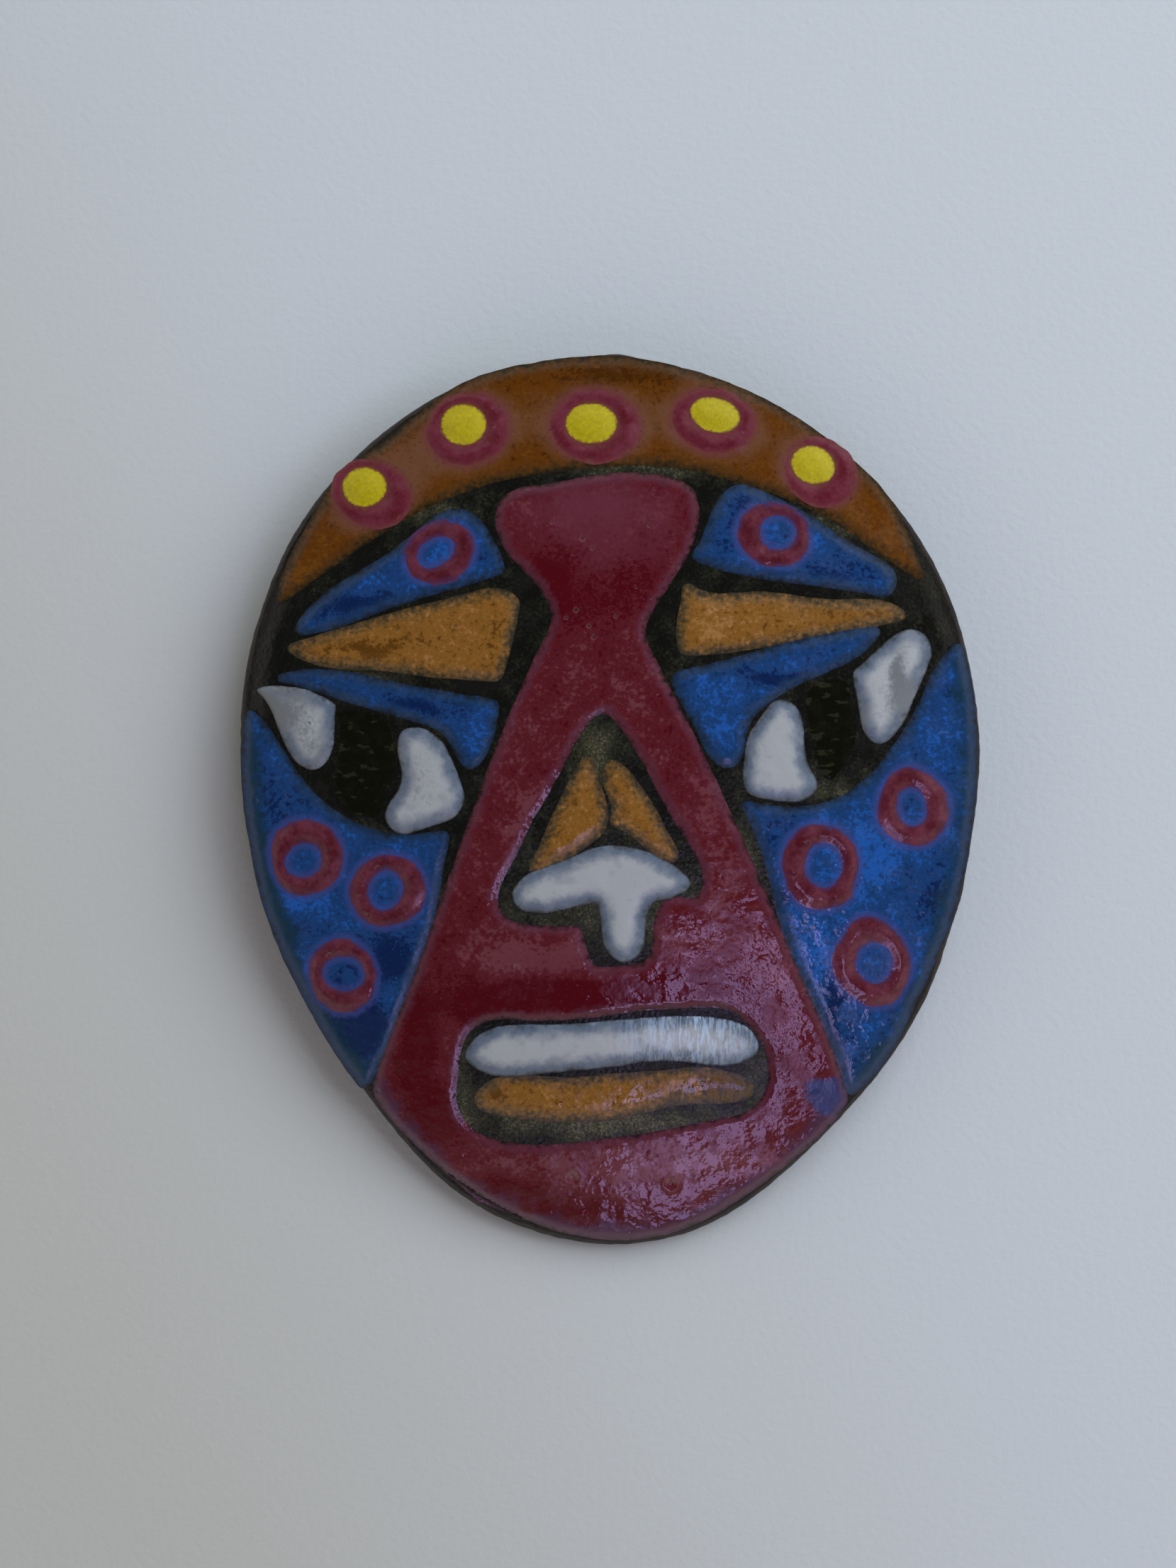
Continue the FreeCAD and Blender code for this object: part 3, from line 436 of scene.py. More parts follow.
def blank(material):
    """The copper blank: a shell with a sawn, filed and slightly rounded rim."""
    loop = RIM_LOOP
    inward = along_normals(loop)
    filed = 0.035 * wander(loop, 0.7, 21.0) - 0.03
    # Steps of the rim's section: how far inwards, and at what distance from the centre.
    section = [(0.16, COPPER_IN), (0.05, COPPER_IN + 0.05), (0.0, COPPER_IN + 0.17),
               (0.0, DOME_RADIUS - 0.4), (0.015, DOME_RADIUS - 0.2), (0.06, DOME_RADIUS - 0.07),
               (0.17, DOME_RADIUS)]
    rows = []
    for depth, radius in section:
        uneven = 0.02 * wander(loop, 0.35, radius)
        moved = loop + inward * (depth - filed + uneven)[:, None]
        rows.append(on_dome(moved, radius + uneven / 2))
    count = len(loop)
    faces = []
    for row in range(len(section) - 1):
        for i in range(count):
            a, b = row * count + i, row * count + (i + 1) % count
            faces.append((a, b, b + count, a + count))
    points = np.vstack(rows)
    for row, order in ((0, -1), (len(section) - 1, 1)):
        plan, cap = fill([rows[row][:, :2]], BACK_STEP)
        start = len(points)
        index = np.r_[np.arange(count) + row * count, np.arange(len(plan) - count) + start]
        faces += index[cap][:, ::order].tolist()
        points = np.vstack([points, on_dome(plan[count:], section[row][1])])
    measures = {"rim": to_rim(points)}
    piece = mesh_piece("copper_blank", points, faces, measures)
    piece.data.materials.append(material)
    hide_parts("copper_base")


def softened(node, name, body, material, width):
    """Copy of a CAD node's mesh with its edges broken by a small bevel."""
    work = bmesh.new()
    work.from_mesh(nodes[node].data)
    bmesh.ops.remove_doubles(work, verts=work.verts, dist=1e-7)
    bmesh.ops.dissolve_limit(work, angle_limit=FLAT_FOLD, verts=work.verts, edges=work.edges)
    mesh = bpy.data.meshes.new(name)
    work.to_mesh(mesh)
    work.free()
    mesh.materials.clear()
    mesh.materials.append(material)
    shade_smooth(mesh)
    piece = added(name, mesh)
    bevel = piece.modifiers.new("edges", "BEVEL")
    bevel.width = width * MM
    bevel.segments = 3
    bevel.limit_method = "ANGLE"
    bevel.angle_limit = BEVEL_FOLD
    bevel.harden_normals = True
    evaluated = piece.evaluated_get(bpy.context.evaluated_depsgraph_get())
    shaped = bpy.data.meshes.new_from_object(evaluated)
    piece.modifiers.clear()
    piece.data = shaped
    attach(piece, body)
    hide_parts(node)


# ---------------------------------------------------------------- materials

def tint(red, green, blue):
    """Linear colour from display values of 0 to 255."""
    shown = (red, green, blue)
    linear = (((v / 255 + 0.055) / 1.055) ** 2.4 if v > 10 else v / 255 / 12.92 for v in shown)
    return (*linear, 1.0)


class Shader:
    """One material's node tree, built up by short calls. Lengths are millimetres."""

    def __init__(self, name):
        self.material = bpy.data.materials.new(name)
        self.material.use_nodes = True
        self.tree = self.material.node_tree
        self.surface = self.tree.nodes["Principled BSDF"]
        place = self.tree.nodes.new("ShaderNodeTexCoord").outputs["Object"]
        self.place = self.vector("SCALE", place, scale=1 / MM)

    def feed(self, socket, value):
        """Links a socket to another one, or sets its value."""
        if isinstance(value, bpy.types.NodeSocket):
            self.tree.links.new(value, socket)
        elif value is not None:
            socket.default_value = value

    def set(self, **values):
        """Sets the surface's own sockets, such as base_color or roughness."""
        for key, value in values.items():
            names = {s.name.lower().replace(" ", "_"): s for s in self.surface.inputs}
            self.feed(names[key], value)

    def vector(self, operation, a, b=None, scale=None):
        node = self.tree.nodes.new("ShaderNodeVectorMath")
        node.operation = operation
        self.feed(node.inputs[0], a)
        if b is not None:
            self.feed(node.inputs[1], b)
        if scale is not None:
            self.feed(node.inputs["Scale"], scale)
        return node.outputs[0]

    def math(self, operation, a, b):
        node = self.tree.nodes.new("ShaderNodeMath")
        node.operation = operation
        self.feed(node.inputs[0], a)
        self.feed(node.inputs[1], b)
        return node.outputs[0]

    def total(self, *terms):
        """Sum of (value, factor) pairs."""
        result = None
        for value, factor in terms:
            node = self.tree.nodes.new("ShaderNodeMath")
            node.operation = "MULTIPLY_ADD"
            self.feed(node.inputs[0], value)
            self.feed(node.inputs[1], factor)
            self.feed(node.inputs[2], result if result is not None else 0.0)
            result = node.outputs[0]
        return result

    def grain(self, size, detail=2.0, rough=0.5, seed=0.0, centred=False, stretch=(1, 1, 1)):
        """Noise whose features are about size across, 0 to 1, or -0.5 to 0.5 if centred."""
        place = self.vector("MULTIPLY", self.place, tuple(s / size for s in stretch))
        node = self.tree.nodes.new("ShaderNodeTexNoise")
        self.feed(node.inputs["Vector"], self.vector("ADD", place, (seed, seed * 1.7, seed * 0.3)))
        self.feed(node.inputs["Scale"], 1.0)
        self.feed(node.inputs["Detail"], detail)
        self.feed(node.inputs["Roughness"], rough)
        value = node.outputs["Fac"]
        return self.math("SUBTRACT", value, 0.5) if centred else value

    def cells(self, size, seed):
        """Distance to scattered points about size apart, in sizes."""
        node = self.tree.nodes.new("ShaderNodeTexVoronoi")
        place = self.vector("SCALE", self.place, scale=1 / size)
        self.feed(node.inputs["Vector"], self.vector("ADD", place, (seed, seed, seed)))
        self.feed(node.inputs["Scale"], 1.0)
        return node.outputs["Distance"]

    def measure(self, name):
        """A measure that the mesh carries."""
        node = self.tree.nodes.new("ShaderNodeAttribute")
        node.attribute_name = name
        return node.outputs["Fac"]

    def step(self, value, low, high):
        """0 below low and 1 above high, smooth between; low may be the greater."""
        node = self.tree.nodes.new("ShaderNodeMapRange")
        node.interpolation_type = "SMOOTHSTEP"
        if low <= high:
            limits = (low, high, 0.0, 1.0)
        else:
            limits = (high, low, 1.0, 0.0)
        self.feed(node.inputs["Value"], value)
        for key, limit in zip(("From Min", "From Max", "To Min", "To Max"), limits):
            node.inputs[key].default_value = limit
        return node.outputs["Result"]

    def mix(self, share, a, b):
        """Colour a, or b where share is 1."""
        node = self.tree.nodes.new("ShaderNodeMix")
        node.data_type = "RGBA"
        self.feed(node.inputs["Factor"], share)
        self.feed(node.inputs[6], a)
        self.feed(node.inputs[7], b)
        return node.outputs[2]

    def bump(self, height, distance, below=None):
        """Normal from a height field whose unit is distance millimetres."""
        node = self.tree.nodes.new("ShaderNodeBump")
        node.inputs["Distance"].default_value = distance * MM
        self.feed(node.inputs["Height"], height)
        if below is not None:
            self.feed(node.inputs["Normal"], below)
        return node.outputs["Normal"]

    def comb(self, low, high):
        """Streaks across the combed part of a piece."""
        teeth = self.grain(0.6, detail=3.0, rough=0.7, seed=19.0, stretch=(3.0, 0.5, 1.0))
        return self.math("MULTIPLY", self.step(teeth, low, high), self.measure("haze"))


def glass_skin(shader, roughness=0.06, coarse=0.05, fine=0.008, pits=0.0, dull=0.16, margin=0.0):
    """Surface of fired enamel: orange peel, fine grit and a few pinholes, dull at the rim.

    margin is the extra roughness of the thin glass at the field's own edge.
    """
    waves = shader.grain(1.0, detail=2.5, seed=2.0)
    normal = shader.bump(waves, coarse)
    normal = shader.bump(shader.grain(0.24, detail=1.5, seed=4.0), fine, normal)
    if pits:
        holes = shader.step(shader.cells(1.9, seed=6.0), 0.12, 0.05)
        normal = shader.bump(holes, -pits, normal)
    uneven = shader.grain(1.6, detail=2.0, seed=8.0, centred=True)
    worn = shader.step(shader.measure("rim"), 1.2, 0.2)
    matt = shader.step(shader.grain(2.2, detail=5.0, rough=0.7, seed=10.0), 0.5, 0.56)
    soft = shader.total((uneven, 0.06), (worn, 0.08), (matt, dull), (1.0, roughness))
    if margin:
        soft = shader.total((soft, 1.0), (shader.step(shader.measure("edge"), 0.9, 0.3), margin))
    shader.set(roughness=soft, normal=normal, ior=1.5)


def field_glass(name, deep, middle, pale, edge, fuzz=0.3, halo=None, haze=None, rim=None,
                mottle=1.6, speck=0.35, speck_tint=None, edge_glow=None, shoulder=None,
                stain=None, combed=None, margin=0.0):
    """Opaque or hazy field enamel with mottled colour and a grainy border.

    deep, middle and pale are its colours, mottle the size of its patches, edge the
    colour showing through at its border, and fuzz the border's width. speck is how
    much of speck_tint, or else of edge, shows in scattered specks. The other
    colours are optional: halo round the rings lying on it, rim near the blank's
    rim, edge_glow a thin paler line just inside the border, shoulder the thinner
    glass next to that, haze milky glass, stain where the haze is negative and
    combed in streaks where it is positive. margin is the extra roughness at the
    border.
    """
    shader = Shader(name)
    slow = shader.grain(mottle, detail=3.0, rough=0.6, seed=1.0, centred=True)
    quick = shader.grain(0.28, detail=2.0, rough=0.6, seed=3.0, centred=True)
    # The colour patches that the mesh carries are painted reflections on the crimson face panel, and the
    # glass's own uneven colour on the other pieces.
    tone_and_reflection = shader.total((shader.measure("tone_and_reflection"), 0.75), (slow, 1.5), (quick, 1.5), (1.0, 0.5))
    colour = shader.mix(shader.step(tone_and_reflection, 0.05, 0.4), deep, middle)
    colour = shader.mix(shader.step(tone_and_reflection, 0.55, 1.0), colour, pale)
    dusty = shader.grain(0.16, detail=2.0, rough=0.8, seed=14.0, centred=True)
    colour = shader.mix(shader.step(dusty, 0.08, 0.3), colour, pale)
    colour = shader.mix(shader.step(dusty, -0.08, -0.3), colour, deep)
    # Deepest where the patches are low: pooled glass, and on the face panel painted dark reflections.
    pooled_and_dark_reflection = shader.total((shader.measure("tone_and_reflection"), -1.0), (quick, 0.9), (slow, 0.6))
    pooled_and_dark_reflection = shader.step(pooled_and_dark_reflection, 0.38, 0.5)
    colour = shader.mix(pooled_and_dark_reflection, colour, deep)
    border = shader.total((shader.measure("edge"), 1.0), (quick, 3.0 * fuzz),
                          (shader.grain(0.7, seed=9.0, centred=True), 0.7))
    if rim is not None:
        near = shader.total((shader.measure("rim"), 1.0), (slow, 2.2), (quick, 0.6))
        colour = shader.mix(shader.step(near, 1.7, 0.5), colour, rim)
    if haze is not None:
        around = shader.step(shader.measure("ring"), 1.3, 0.1)
        milk = shader.total((around, 0.45 if halo is not None else 0.0), (shader.measure("haze"), 1.0),
                            (quick, 0.45), (slow, 0.3))
        colour = shader.mix(shader.step(milk, 0.1, 1.0), colour, haze)
    if stain is not None:
        spilt = shader.total((shader.measure("haze"), -1.0), (quick, 0.4), (slow, 0.3))
        colour = shader.mix(shader.step(spilt, 0.3, 0.6), colour, stain)
    if halo is not None:
        close = shader.total((shader.measure("ring"), 1.0), (quick, 0.5))
        colour = shader.mix(shader.math("MULTIPLY", shader.step(close, 0.42, 0.02), 0.75), colour, halo)
    if shoulder is not None:
        colour = shader.mix(shader.step(border, 1.0, 0.15), colour, shoulder)
    if combed is not None:
        colour = shader.mix(shader.comb(0.44, 0.56), colour, combed)
    if edge_glow is not None:
        inner = shader.math("MULTIPLY", shader.step(border, 0.75, 0.3), 0.5)
        colour = shader.mix(inner, colour, edge_glow)
    sown = shader.step(shader.grain(0.2, detail=1.0, seed=12.0), 0.62, 0.78)
    colour = shader.mix(shader.math("MULTIPLY", sown, speck), colour, speck_tint or edge)
    colour = shader.mix(shader.step(border, -0.2, 1.3 * fuzz), edge, colour)
    shader.set(base_color=colour)
    glass_skin(shader, pits=0.02, margin=margin)
    return shader.material


def ring_glass(name, deep, middle, halo):
    """Thin transparent ring enamel whose edge melts into a pale halo."""
    shader = Shader(name)
    quick = shader.grain(0.25, detail=2.0, seed=3.0, centred=True)
    slow = shader.grain(1.2, detail=2.0, seed=5.0, centred=True)
    cloud = shader.step(shader.total((slow, 1.4), (quick, 0.7)), -0.35, 0.35)
    colour = shader.mix(cloud, deep, middle)
    border = shader.total((shader.measure("edge"), 1.0), (quick, 0.9), (slow, 0.5))
    colour = shader.mix(shader.step(border, -0.1, 0.4), halo, colour)
    shader.set(base_color=colour)
    glass_skin(shader)
    return shader.material


def white_glass(name):
    """Raised opaque white, bluish and see-through where it thins at its edge."""
    shader = Shader(name)
    quick = shader.grain(0.22, detail=2.0, seed=3.0, centred=True)
    slow = shader.grain(0.9, detail=2.0, seed=5.0, centred=True)
    border = shader.total((shader.measure("edge"), 1.0), (quick, 0.35), (slow, 0.8))
    colour = shader.mix(shader.step(border, 0.3, 1.15), tint(78, 89, 106), tint(144, 147, 151))
    colour = shader.mix(shader.step(border, -0.1, 0.35), tint(34, 40, 48), colour)
    streak = shader.step(shader.grain(1.3, detail=2.0, seed=15.0), 0.56, 0.7)
    colour = shader.mix(shader.math("MULTIPLY", streak, 0.45), colour, tint(112, 118, 128))
    thin = shader.total((shader.measure("tone_and_reflection"), -1.0), (quick, 0.9), (slow, 0.5))
    colour = shader.mix(shader.step(thin, 0.1, 0.9), colour, tint(96, 99, 104))
    colour = shader.mix(shader.comb(0.42, 0.6), colour, tint(168, 188, 218))
    shader.set(base_color=colour)
    glass_skin(shader, roughness=0.3, coarse=0.03)
    return shader.material


def dot_glass():
    """Opaque lemon yellow."""
    shader = Shader("yellow_enamel")
    quick = shader.grain(0.2, detail=2.0, seed=3.0, centred=True)
    colour = shader.mix(shader.step(quick, -0.3, 0.3), tint(144, 130, 0), tint(164, 150, 2))
    border = shader.total((shader.measure("edge"), 1.0), (quick, 0.3))
    colour = shader.mix(shader.step(border, -0.02, 0.16), tint(104, 70, 26), colour)
    shader.set(base_color=colour)
    glass_skin(shader, roughness=0.4, coarse=0.03)
    return shader.material


def ground_glass():
    """Black ground coat, olive and sandy where it lies thin."""
    shader = Shader("ground_enamel")
    quick = shader.grain(0.2, detail=3.0, rough=0.7, seed=3.0, centred=True)
    slow = shader.grain(1.1, detail=2.0, seed=5.0, centred=True)
    sandy = shader.total((shader.measure("sand"), 0.8), (quick, 1.6), (slow, 0.9), (1.0, 0.3))
    grit = shader.grain(0.13, detail=2.0, rough=0.8, seed=17.0, centred=True)
    colour = shader.mix(shader.step(sandy, 0.2, 1.0), tint(8, 9, 8), tint(38, 39, 28))
    gritty = shader.step(shader.total((sandy, 1.0), (grit, 2.0)), 0.8, 1.5)
    colour = shader.mix(gritty, colour, tint(84, 80, 58))
    rough_edge = shader.total((shader.measure("edge"), 1.0), (quick, 0.4))
    colour = shader.mix(shader.step(rough_edge, 0.0, 0.25), tint(20, 18, 16), colour)
    shader.set(base_color=colour, specular_ior_level=0.3)
    glass_skin(shader, roughness=0.25, coarse=0.06, fine=0.04, dull=0.15)
    return shader.material


def iris_glass():
    """Very dark olive glass with a few thinner, lighter dabs."""
    shader = Shader("olive_enamel")
    quick = shader.grain(0.22, detail=3.0, rough=0.65, seed=3.0, centred=True)
    slow = shader.grain(0.8, detail=2.0, seed=5.0, centred=True)
    cloud = shader.step(shader.total((slow, 1.2), (quick, 1.0)), -0.2, 0.7)
    colour = shader.mix(cloud, tint(6, 8, 3), tint(17, 19, 11))
    dabs = shader.grain(1.0, detail=2.5, rough=0.6, seed=7.0, stretch=(0.8, 1.7, 1.0))
    dabs = shader.math("MULTIPLY", shader.step(dabs, 0.58, 0.63), 0.4)
    colour = shader.mix(dabs, colour, tint(48, 47, 35))
    shader.set(base_color=colour, specular_ior_level=0.3)
    glass_skin(shader, roughness=0.1, dull=0.08)
    return shader.material


def counter_glass():
    """Counter enamel of the back: dark, pebbly and speckled with fired dust."""
    shader = Shader("counter_enamel")
    quick = shader.grain(0.3, detail=3.0, rough=0.65, seed=3.0, centred=True)
    slow = shader.grain(3.0, detail=3.0, seed=5.0, centred=True)
    cloud = shader.step(shader.total((slow, 1.4), (quick, 0.8)), -0.4, 0.5)
    colour = shader.mix(cloud, tint(40, 43, 48), tint(84, 86, 88))
    dust = shader.step(shader.cells(0.8, seed=7.0), 0.2, 0.1)
    colour = shader.mix(shader.math("MULTIPLY", dust, 0.6), colour, tint(150, 138, 112))
    worn = shader.total((shader.measure("edge"), 1.0), (quick, 0.8))
    colour = shader.mix(shader.step(worn, 0.1, 0.7), tint(62, 44, 34), colour)
    shader.set(base_color=colour)
    glass_skin(shader, roughness=0.22, coarse=0.09, fine=0.02, pits=0.04)
    return shader.material


def oxidised_copper():
    """Filed copper rim: dark fire scale with the metal showing through where it is rubbed."""
    shader = Shader("oxidised_copper")
    quick = shader.grain(0.22, detail=3.0, rough=0.7, seed=3.0, centred=True)
    slow = shader.grain(2.4, detail=3.0, seed=5.0, centred=True)
    scale = shader.total((slow, 1.6), (quick, 1.0))
    colour = shader.mix(shader.step(scale, -0.5, 0.35), tint(10, 9, 9), tint(40, 34, 31))
    bare = shader.step(shader.total((slow, 1.2), (quick, 1.6)), 0.45, 0.85)
    colour = shader.mix(bare, colour, tint(120, 78, 58))
    shader.set(base_color=colour, metallic=shader.total((bare, 0.7), (1.0, 0.2)))
    filing = shader.grain(0.16, detail=2.0, seed=9.0, stretch=(1, 1, 0.25))
    normal = shader.bump(filing, 0.05)
    shader.set(roughness=shader.total((quick, 0.3), (1.0, 0.48)), normal=normal)
    return shader.material


def plated_metal(name, bright, dull, stain, roughness):
    """Nickel-plated finding metal with rolling lines, tarnish and handling scratches."""
    shader = Shader(name)
    cloud = shader.grain(1.8, detail=4.0, seed=3.0, centred=True)
    spots = shader.step(shader.grain(0.5, detail=3.0, rough=0.7, seed=5.0), 0.62, 0.75)
    colour = shader.mix(shader.step(cloud, -0.3, 0.3), dull, bright)
    colour = shader.mix(shader.math("MULTIPLY", spots, 0.7), colour, stain)
    lines = shader.grain(0.12, detail=1.0, seed=7.0, stretch=(0.04, 1, 1))
    scratches = shader.step(shader.grain(0.4, detail=0.0, seed=11.0, stretch=(0.3, 4, 1)), 0.68, 0.72)
    normal = shader.bump(lines, 0.006)
    normal = shader.bump(scratches, -0.008, normal)
    shader.set(base_color=colour, normal=normal, metallic=1.0)
    shader.set(roughness=shader.total((cloud, 0.25), (spots, 0.2), (lines, 0.1), (1.0, roughness)))
    return shader.material


def hard_glue():
    """Cured epoxy, amber and slightly cloudy."""
    shader = Shader("glue")
    cloud = shader.grain(1.4, detail=3.0, seed=3.0, centred=True)
    bubbles = shader.step(shader.cells(0.7, seed=5.0), 0.2, 0.12)
    colour = shader.mix(shader.step(cloud, -0.3, 0.3), tint(150, 122, 70), tint(190, 168, 118))
    colour = shader.mix(shader.math("MULTIPLY", bubbles, 0.4), colour, tint(226, 214, 180))
    shader.set(base_color=colour, transmission_weight=0.25, ior=1.5)
    normal = shader.bump(shader.grain(0.9, detail=2.0, seed=7.0), 0.12)
    normal = shader.bump(bubbles, 0.02, normal)
    shader.set(roughness=shader.total((cloud, 0.15), (1.0, 0.22)), normal=normal)
    return shader.material


# ---------------------------------------------------------------- pieces

# Crimson: on the face panel its deep and salmon-pale colours partly stand for painted reflections of dark
# things and of a warm grey ceiling.
crimson = field_glass(
    "crimson_enamel", deep=tint(66, 0, 12), middle=tint(76, 17, 27), pale=tint(94, 46, 54),
    edge=tint(22, 14, 17), fuzz=0.22, haze=tint(86, 36, 50), rim=tint(58, 34, 58), speck=0.2,
    speck_tint=tint(104, 58, 62), edge_glow=tint(78, 44, 60), stain=tint(34, 42, 84))
orange = field_glass(
    "orange_enamel", deep=tint(56, 28, 0), middle=tint(82, 43, 4), pale=tint(94, 55, 12),
    edge=tint(26, 22, 12), fuzz=0.4, halo=tint(94, 48, 48), haze=tint(94, 60, 40), speck=0.5,
    shoulder=tint(66, 42, 16))
blue = field_glass(
    "blue_enamel", deep=tint(2, 26, 66), middle=tint(18, 52, 98), pale=tint(24, 74, 144),
    edge=tint(14, 20, 28), halo=tint(50, 58, 112), rim=tint(16, 42, 56), mottle=1.5,
    shoulder=tint(18, 44, 74), margin=0.2)
amber = field_glass(
    "amber_enamel", deep=tint(78, 48, 8), middle=tint(116, 77, 29), pale=tint(138, 98, 56),
    edge=tint(32, 31, 20), fuzz=0.5, mottle=0.7, speck=0.8, speck_tint=tint(70, 44, 16),
    shoulder=tint(92, 66, 32), combed=tint(36, 38, 40), margin=0.3)
crown_maroon = ring_glass(
    "crown_maroon_enamel", deep=tint(78, 16, 28), middle=tint(96, 38, 52), halo=tint(96, 50, 50))
cheek_maroon = ring_glass(
    "maroon_enamel", deep=tint(66, 12, 24), middle=tint(90, 40, 54), halo=tint(62, 44, 84))
white = white_glass("white_enamel")
yellow = dot_glass()
ground = ground_glass()
olive = iris_glass()
counter = counter_glass()
copper = oxidised_copper()
plated = plated_metal("plated_steel", bright=tint(202, 200, 192), dull=tint(150, 146, 136),
                      stain=tint(88, 74, 56), roughness=0.26)
pin_metal = plated_metal("pin_steel", bright=tint(214, 214, 212), dull=tint(170, 170, 168),
                         stain=tint(110, 98, 80), roughness=0.18)
glue = hard_glue()

blank(copper)
coat("base_enamel", ground, GROUND_EDGE, SEAM_TOP, slump=1.3, wobble=0.08)
coat("counter_enamel", counter, COUNTER_OUT, COUNTER_IN, slump=1.2,
     step=COUNTER_STEP, side=-1)
coat("crown_band", orange, SEAM_TOP, FIELD_OUT, slump=0.7, grow=0.2)
coat("face_panel", crimson, SEAM_TOP, FIELD_OUT, slump=0.5, grow=0.16)
for name in ("brow_field_left", "brow_field_right", "lid_left", "lid_right", "cheek_left", "cheek_right"):
    coat(name, blue, SEAM_TOP, FIELD_OUT, slump=0.7, grow=0.22)
for name in ("amber_brow_left", "amber_brow_right", "nose_amber_left", "nose_amber_right", "lip_lower"):
    coat(name, amber, SEAM_TOP, FIELD_OUT, slump=1.2, step=RAISED_STEP,
         grow=0.25 if "brow" in name else 0.4)
for name in HALO_RINGS:
    coat(name, crown_maroon if name.startswith("crown") else cheek_maroon,
         RING_EDGE, RING_OUT, slump=0.9, step=RAISED_STEP, wobble=0.1, grow=0.05)
for number in range(1, 6):
    coat("crown_dot_%d" % number, yellow, FIELD_OUT, DOT_OUT, slump=0.9, step=FINE_STEP)
for name in ("eye_white_outer_left", "eye_white_inner_left", "eye_white_inner_right",
             "eye_white_outer_right", "nose_base", "lip_upper"):
    coat(name, white, RAISED_EDGE, WHITE_OUT, slump=1.3, step=FINE_STEP, grow=0.1,
         domed=True)
for name in ("iris_left", "iris_right"):
    coat(name, olive, RAISED_EDGE, IRIS_OUT, slump=0.8, step=RAISED_STEP, grow=0.1)

softened("bar_plate", "bar_plate_plated", "root", plated, 0.12)
softened("hinge_rivet", "hinge_rivet_head", "root", plated, 0.08)
softened("catch_housing", "catch_housing_plated", "root", plated, 0.08)
softened("pin_stem", "pin_stem_steel", "pin", pin_metal, 0.05)
softened("catch_sleeve", "catch_sleeve_plated", "sleeve", plated, 0.06)
softened("glue_pad", "glue_pad_epoxy", "root", glue, 0.1)


# ---------------------------------------------------------------- studio

def floor():
    """Pale matt table top, with painted shade: darker and warmer towards the lower left. From below it is
    clear, so that the back can be looked at.
    """
    half = 3.0
    corners = [(-half, -half, 0), (half, -half, 0), (half, half, 0), (-half, half, 0)]
    mesh = bpy.data.meshes.new("table_top")
    mesh.from_pydata(corners, [], [(0, 1, 2, 3)])
    piece = added("table_top", mesh)
    piece.location.z = -0.05 * MM
    shader = Shader("table_top")
    cloud = shader.grain(26.0, detail=2.0, seed=3.0, centred=True)
    axes = shader.tree.nodes.new("ShaderNodeSeparateXYZ")
    shader.feed(axes.inputs[0], shader.place)
    across = shader.total((axes.outputs["X"], 1.0), (axes.outputs["Y"], 0.6), (cloud, 12.0))
    # Painted shade: the table's colour turns darker and warmer towards the lower left, where the room's
    # shade falls.
    painted_shade_colour, open_floor_colour = (0.375, 0.378, 0.358, 1), (0.45, 0.478, 0.51, 1)
    colour = shader.mix(shader.step(across, -62.0, 18.0), painted_shade_colour, open_floor_colour)
    tooth = shader.bump(shader.grain(0.45, detail=3.0), 0.035)
    shader.set(base_color=colour, roughness=0.6, normal=tooth)
    tree = shader.tree
    blend = tree.nodes.new("ShaderNodeMixShader")
    clear = tree.nodes.new("ShaderNodeBsdfTransparent")
    back = tree.nodes.new("ShaderNodeNewGeometry").outputs["Backfacing"]
    tree.links.new(back, blend.inputs["Fac"])
    tree.links.new(shader.surface.outputs[0], blend.inputs[1])
    tree.links.new(clear.outputs[0], blend.inputs[2])
    tree.links.new(blend.outputs[0], tree.nodes["Material Output"].inputs["Surface"])
    mesh.materials.append(shader.material)


def area_light(name, place, width, height, watts, colour):
    """Rectangular soft light aimed at the brooch, which does not mirror it."""
    data = bpy.data.lights.new(name, "AREA")
    data.shape = "RECTANGLE"
    data.size, data.size_y = width, height
    data.energy = watts
    data.color = colour
    light = added(name, data)
    aim = (-Vector(place)).to_track_quat("-Z", "Y").to_matrix().to_4x4()
    light.matrix_world = Matrix.Translation(place) @ aim
    light.visible_glossy = False


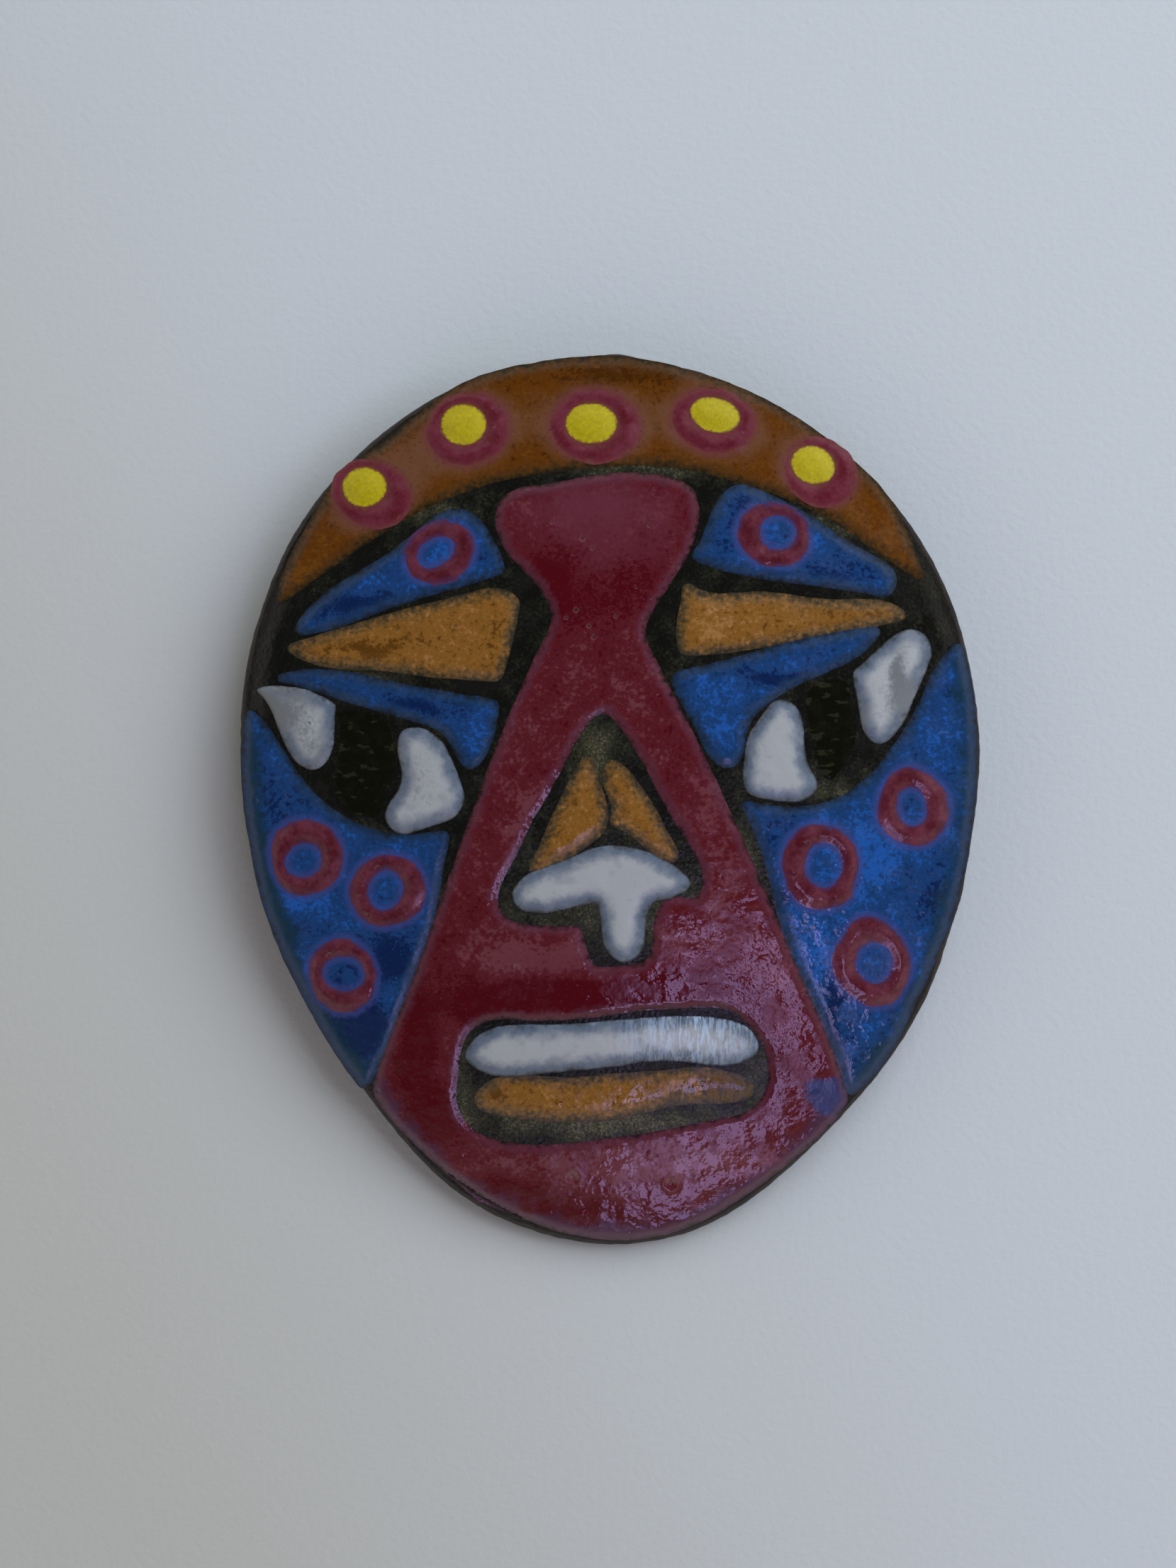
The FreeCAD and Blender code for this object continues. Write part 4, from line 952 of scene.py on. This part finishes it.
def pane(name, corners, radiance):
    """Window pane overhead. Its corners are directions from the brooch, as run over rise."""
    height = 0.9
    points = [(x * height, y * height, height) for x, y in corners]
    mesh = bpy.data.meshes.new(name)
    mesh.from_pydata(points, [], [tuple(range(len(points)))])
    piece = added(name, mesh)
    piece.visible_camera = False
    material = bpy.data.materials.new(name)
    material.use_nodes = True
    tree = material.node_tree
    glow = tree.nodes.new("ShaderNodeEmission")
    glow.inputs["Color"].default_value = radiance
    tree.links.new(glow.outputs[0], tree.nodes["Material Output"].inputs["Surface"])
    mesh.materials.append(material)


def studio():
    """Pale surroundings, darker overhead, a soft side light, and a window on the lower right."""
    world = bpy.data.worlds.new("studio")
    world.use_nodes = True
    tree = world.node_tree
    direction = tree.nodes.new("ShaderNodeTexCoord").outputs["Generated"]
    parts = tree.nodes.new("ShaderNodeSeparateXYZ")
    tree.links.new(direction, parts.inputs[0])
    ramp = tree.nodes.new("ShaderNodeValToRGB")
    tree.links.new(parts.outputs["Z"], ramp.inputs[0])
    horizon, overhead = ramp.color_ramp.elements
    horizon.position, horizon.color = 0.45, (0.92, 0.86, 0.78, 1)
    overhead.position, overhead.color = 0.86, (0.09, 0.078, 0.062, 1)
    tree.links.new(ramp.outputs[0], tree.nodes["Background"].inputs["Color"])
    bpy.context.scene.world = world
    area_light("side", place=(0.27, 0.24, 0.38), width=0.58, height=0.5, watts=3.4,
               colour=(0.86, 0.96, 1.06))
    violet = (2.7, 2.1, 4.2, 1)
    left = [(0.08, -0.31), (0.125, -0.31), (0.215, -0.49), (0.28, -0.6), (0.15, -0.85),
            (0.03, -0.85), (0.03, -0.68), (0.12, -0.62), (0.17, -0.56), (0.08, -0.5)]
    right = [(0.175, -0.31), (0.255, -0.29), (0.335, -0.5), (0.33, -0.6), (0.3, -0.6), (0.255, -0.48)]
    pane("pane_left", left, violet)
    pane("pane_right", right, violet)


def camera():
    """Looks straight down, with the brooch a little right of the frame's middle."""
    aim_x, aim_y, distance, frame_height = -1.36, 1.07, 400.0, 98.3
    data = bpy.data.cameras.new("camera")
    data.sensor_width = 36.0
    data.lens = data.sensor_width * distance / frame_height
    view = added("camera", data)
    view.location = (aim_x * MM, aim_y * MM, distance * MM)
    bpy.context.scene.camera = view
    bpy.context.scene.view_settings.view_transform = "Standard"


floor()
studio()
camera()
